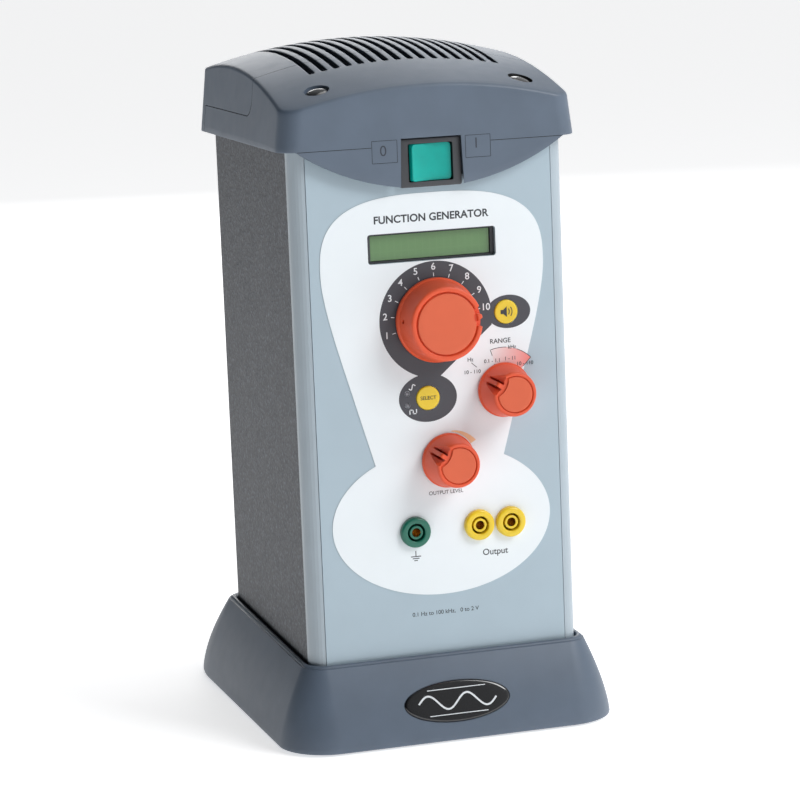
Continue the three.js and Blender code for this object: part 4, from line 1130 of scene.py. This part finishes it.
def make_rocker():
    mid = (SWITCH_LOW[2] + SWITCH_HIGH[2]) / 2
    joint = joint_at("power_rocker_tilt")
    tilt = math.radians(ROCKER["tilt"])
    key_low, key_high = box_mm("switch_rocker")
    half, r = ROCKER["half"], (key_high[2] - key_low[2]) / 2 - ROCKER["pin"]
    dish = [(half * t, -1.35 - 1.75 * t * t) for t in np.linspace(-1, 1, 33)]
    outline = dish + [(half, -2.7), (half - 0.5, 1.0), (4, 6), (-4, 6), (-half + 0.5, 1.0), (-half, -2.7)]
    rocker = make_piece("rocker_key", *prism(outline, mid - r, mid + r, plane="xy"), "rocker", None, sharp=40)
    front_loop = rectangle(-half, half, mid - r, mid + r, ROCKER["corner"])
    carve(rocker, scratch(*prism(front_loop, -3.1, 8, bevel=0.7, steps=5), "rocker"), "INTERSECT", sharp=40)
    rocker.data.transform(Matrix.Translation((0, joint[1] * MM, 0)) @ Matrix.Rotation(tilt, 4, "Z"))
    settle(rocker, "power_rocker", ["switch_rocker"])


def make_keys():
    for name, body in (("speaker", "speaker_key"), ("select", "select_key")):
        node = name + "_button"
        low, high = box_mm(node)
        x, z = axis_of(node)
        r = (high[0] - low[0]) / 2
        profile = [(0, high[1], 0), (r - 1.2, high[1], 0), (r, high[1] - 0.3), (r, low[1] + 0.35),
                   (r - 0.5, low[1] + 0.02), (r - 2.0, low[1] + 0.06), (0, low[1] + 0.24, 0)]
        solid = turned(profile, x, z, 96, closed=False, round_edges=0.35)
        key = make_piece(name + "_key_cap", *solid, "button", None)
        settle(key, body, [node])
    x, z = axis_of("speaker_button")
    y = box_mm("speaker_button")[0][1]
    half = [(-2.9, 1.0), (-1.5, 1.0), (0.3, 2.6)]
    box = [(x + a, z - b) for a, b in half] + [(x + a, z + b) for a, b in half[::-1]]
    printed("speaker_glyph", [box], y, "black_print", body="speaker_key", thick=0.3)
    for n, r in enumerate((2.2, 3.6)):
        wave = ellipse(x - 0.6, z, r, r, -38, 38, 20)
        printed(f"speaker_glyph_wave_{n}", [stroke(wave, 0.4)], y, "black_print", body="speaker_key", thick=0.3)


def make_sockets():
    for name, color in (("earth", "green"), ("output_left", "yellow"), ("output_right", "yellow")):
        node = name + "_socket"
        low, high = box_mm(node)
        x, z = axis_of(node)
        face, back = low[1], PANEL_Y - 0.1
        flange = (high[0] - low[0]) / 2
        bore, barrel, end = SOCKET["bore"], SOCKET["barrel"], face + SOCKET["depth"]
        profile = [(bore, end, 0), (bore, face + 0.3, 0.5), (4.9, face, 0.5), (flange - 0.7, face, 0.8),
                   (flange, face + 0.8, 0.6), (flange, back, 0), (barrel, back, 0), (barrel, high[1], 0),
                   (3.0, high[1], 0), (3.0, end, 0)]
        sleeve = [(2.75, end + 0.2, 0), (2.75, face + 1.1, 0), (2.2, face + 1.1, 0.1), (2.2, face + 0.5, 0.3),
                  (3.4, face + 0.5, 0.3), (3.4, end + 0.2, 0)]
        shell = make_piece(name + "_jack_shell", *turned(profile, x, z, 112, round_edges=0.4), color, None)
        inner = make_piece(name + "_jack_sleeve", *turned(sleeve, x, z, 80, round_edges=0.2), color, None)
        settle(shell, "case", [node])
        settle(inner, "case", [node])
        tip, root = box_mm(name + "_contact")
        r = (root[0] - tip[0]) / 2
        tube = [(0, face + 12.5, 0), (2.1, face + 12.5, 0), (2.1, tip[1] + 0.3, 0.3), (2.3, tip[1], 0.2),
                (2.55, tip[1], 0.2), (2.55, root[1] - 6, 0), (r, root[1] - 6, 0), (r, root[1], 0.3),
                (0, root[1], 0)]
        solid = turned(tube, x, z, 80, closed=False, round_edges=0.2)
        pin = make_piece(name + "_jack_contact", *solid, "brass", None)
        settle(pin, "case", [name + "_contact"])


# ---------------------------------------------------------------- rest of the look
CAD_LOOK = {
    "panel": ["front_panel"], "case": ["case_wrap"], "bezel": ["display_bezel"], "display": ["display_glass"],
    "rail": ["corner_rail_left", "corner_rail_right"], "lamp": ["sine_led", "square_led"],
    "board": ["display_board", "control_board"], "copper": ["transformer_coil"], "cone": ["loudspeaker_cone"],
    "core": ["main_pot", "range_switch", "level_pot", "transformer_core"],
    "inside": ["speaker_tact_switch", "select_tact_switch", "mains_inlet"],
    "brass": ["inlet_pin_live", "inlet_pin_neutral", "inlet_pin_earth"],
    "rubber": ["foot_front_left", "foot_front_right", "foot_rear_left", "foot_rear_right"],
    "steel": ["chassis_plate", "main_shaft", "range_shaft", "level_shaft", "main_nut", "range_nut", "level_nut",
              "earth_nut", "output_left_nut", "output_right_nut", "loudspeaker_frame"],
}


def dress_cad():
    for look, nodes in CAD_LOOK.items():
        for node in nodes:
            materials = bpy.data.objects[node].data.materials
            materials.clear()
            materials.append(MATERIALS[look])


# ---------------------------------------------------------------- studio
FLOOR_GLOW = 0.63
AIR = {"dark_below": -0.4, "dim": 0.02, "bright": 0.8}
CAMERA = {"azimuth": -16.9, "elevation": 9.78, "roll": -2.31, "distance": 1594.0,
          "aim_forward": 26.9, "aim_down": 11.6, "lens": 141.6, "sensor": 36.0}


def make_camera():
    data = bpy.data.cameras.new("camera")
    data.lens = CAMERA["lens"]
    data.sensor_width = CAMERA["sensor"]
    camera = bpy.data.objects.new("camera", data)
    bpy.context.scene.collection.objects.link(camera)
    low, high = CAD_BOX
    aim = (low + high) / 2 - Vector((0, CAMERA["aim_forward"], CAMERA["aim_down"])) * MM
    turn = (Matrix.Rotation(math.radians(CAMERA["azimuth"]), 4, "Z")
            @ Matrix.Rotation(math.radians(90 - CAMERA["elevation"]), 4, "X")
            @ Matrix.Rotation(math.radians(CAMERA["roll"]), 4, "Z"))
    back = (turn @ Vector((0, 0, 1, 0))).to_3d()
    camera.matrix_world = Matrix.Translation(aim + back * CAMERA["distance"] * MM) @ turn
    bpy.context.scene.camera = camera


def make_light(name, at, size, power, target=(0, 0, 0.16)):
    data = bpy.data.lights.new(name, "AREA")
    data.size = size
    data.energy = power
    light = bpy.data.objects.new(name, data)
    bpy.context.scene.collection.objects.link(light)
    light.location = at
    light.rotation_euler = (Vector(target) - Vector(at)).to_track_quat("-Z", "Y").to_euler()


def make_floor():
    bpy.ops.mesh.primitive_plane_add(size=60)
    floor = bpy.context.object
    floor.name = "floor"
    material, tree, shader = new_material("floor_pale", srgb(246, 246, 247), 0.8)
    vary_roughness(tree, shader, noise(tree, 6), 0.76, 0.84)
    shader.inputs["Emission Color"].default_value = (1, 1, 1, 1)
    shader.inputs["Emission Strength"].default_value = FLOOR_GLOW
    floor.data.materials.append(material)


def make_world():
    """Even studio air, brighter on the key's side than on the other."""
    world = bpy.data.worlds.new("studio")
    world.use_nodes = True
    tree = world.node_tree
    coords = tree.nodes.new("ShaderNodeTexCoord")
    split = tree.nodes.new("ShaderNodeSeparateXYZ")
    across = tree.nodes.new("ShaderNodeMapRange")
    across.inputs["From Min"].default_value = AIR["dark_below"]
    across.inputs["To Min"].default_value = AIR["dim"]
    across.inputs["To Max"].default_value = AIR["bright"]
    tree.links.new(coords.outputs["Generated"], split.inputs["Vector"])
    tree.links.new(split.outputs["X"], across.inputs["Value"])
    tree.links.new(across.outputs["Result"], tree.nodes["Background"].inputs["Strength"])
    tree.nodes["Background"].inputs["Color"].default_value = (0.97, 0.985, 1, 1)
    bpy.context.scene.world = world


def make_studio():
    make_floor()
    make_world()
    make_light("key", (1.15, -1.25, 1.45), 0.9, 23)
    make_light("top", (0.5, 0.4, 1.8), 1.0, 5)
    make_light("sheen", (0.45, 2.2, 1.0), 1.2, 11)
    bpy.context.scene.view_settings.view_transform = "Standard"


dress_cad()
make_stand()
make_badge()
make_cap_pieces()
make_vent_shade_sheet()
make_label()
make_main_knob(POINTER["main"])
make_small_knob("range", "range_selector", POINTER["range"])
make_small_knob("level", "level_control", POINTER["level"])
make_bezel()
make_rocker()
make_keys()
make_sockets()
make_camera()
make_studio()
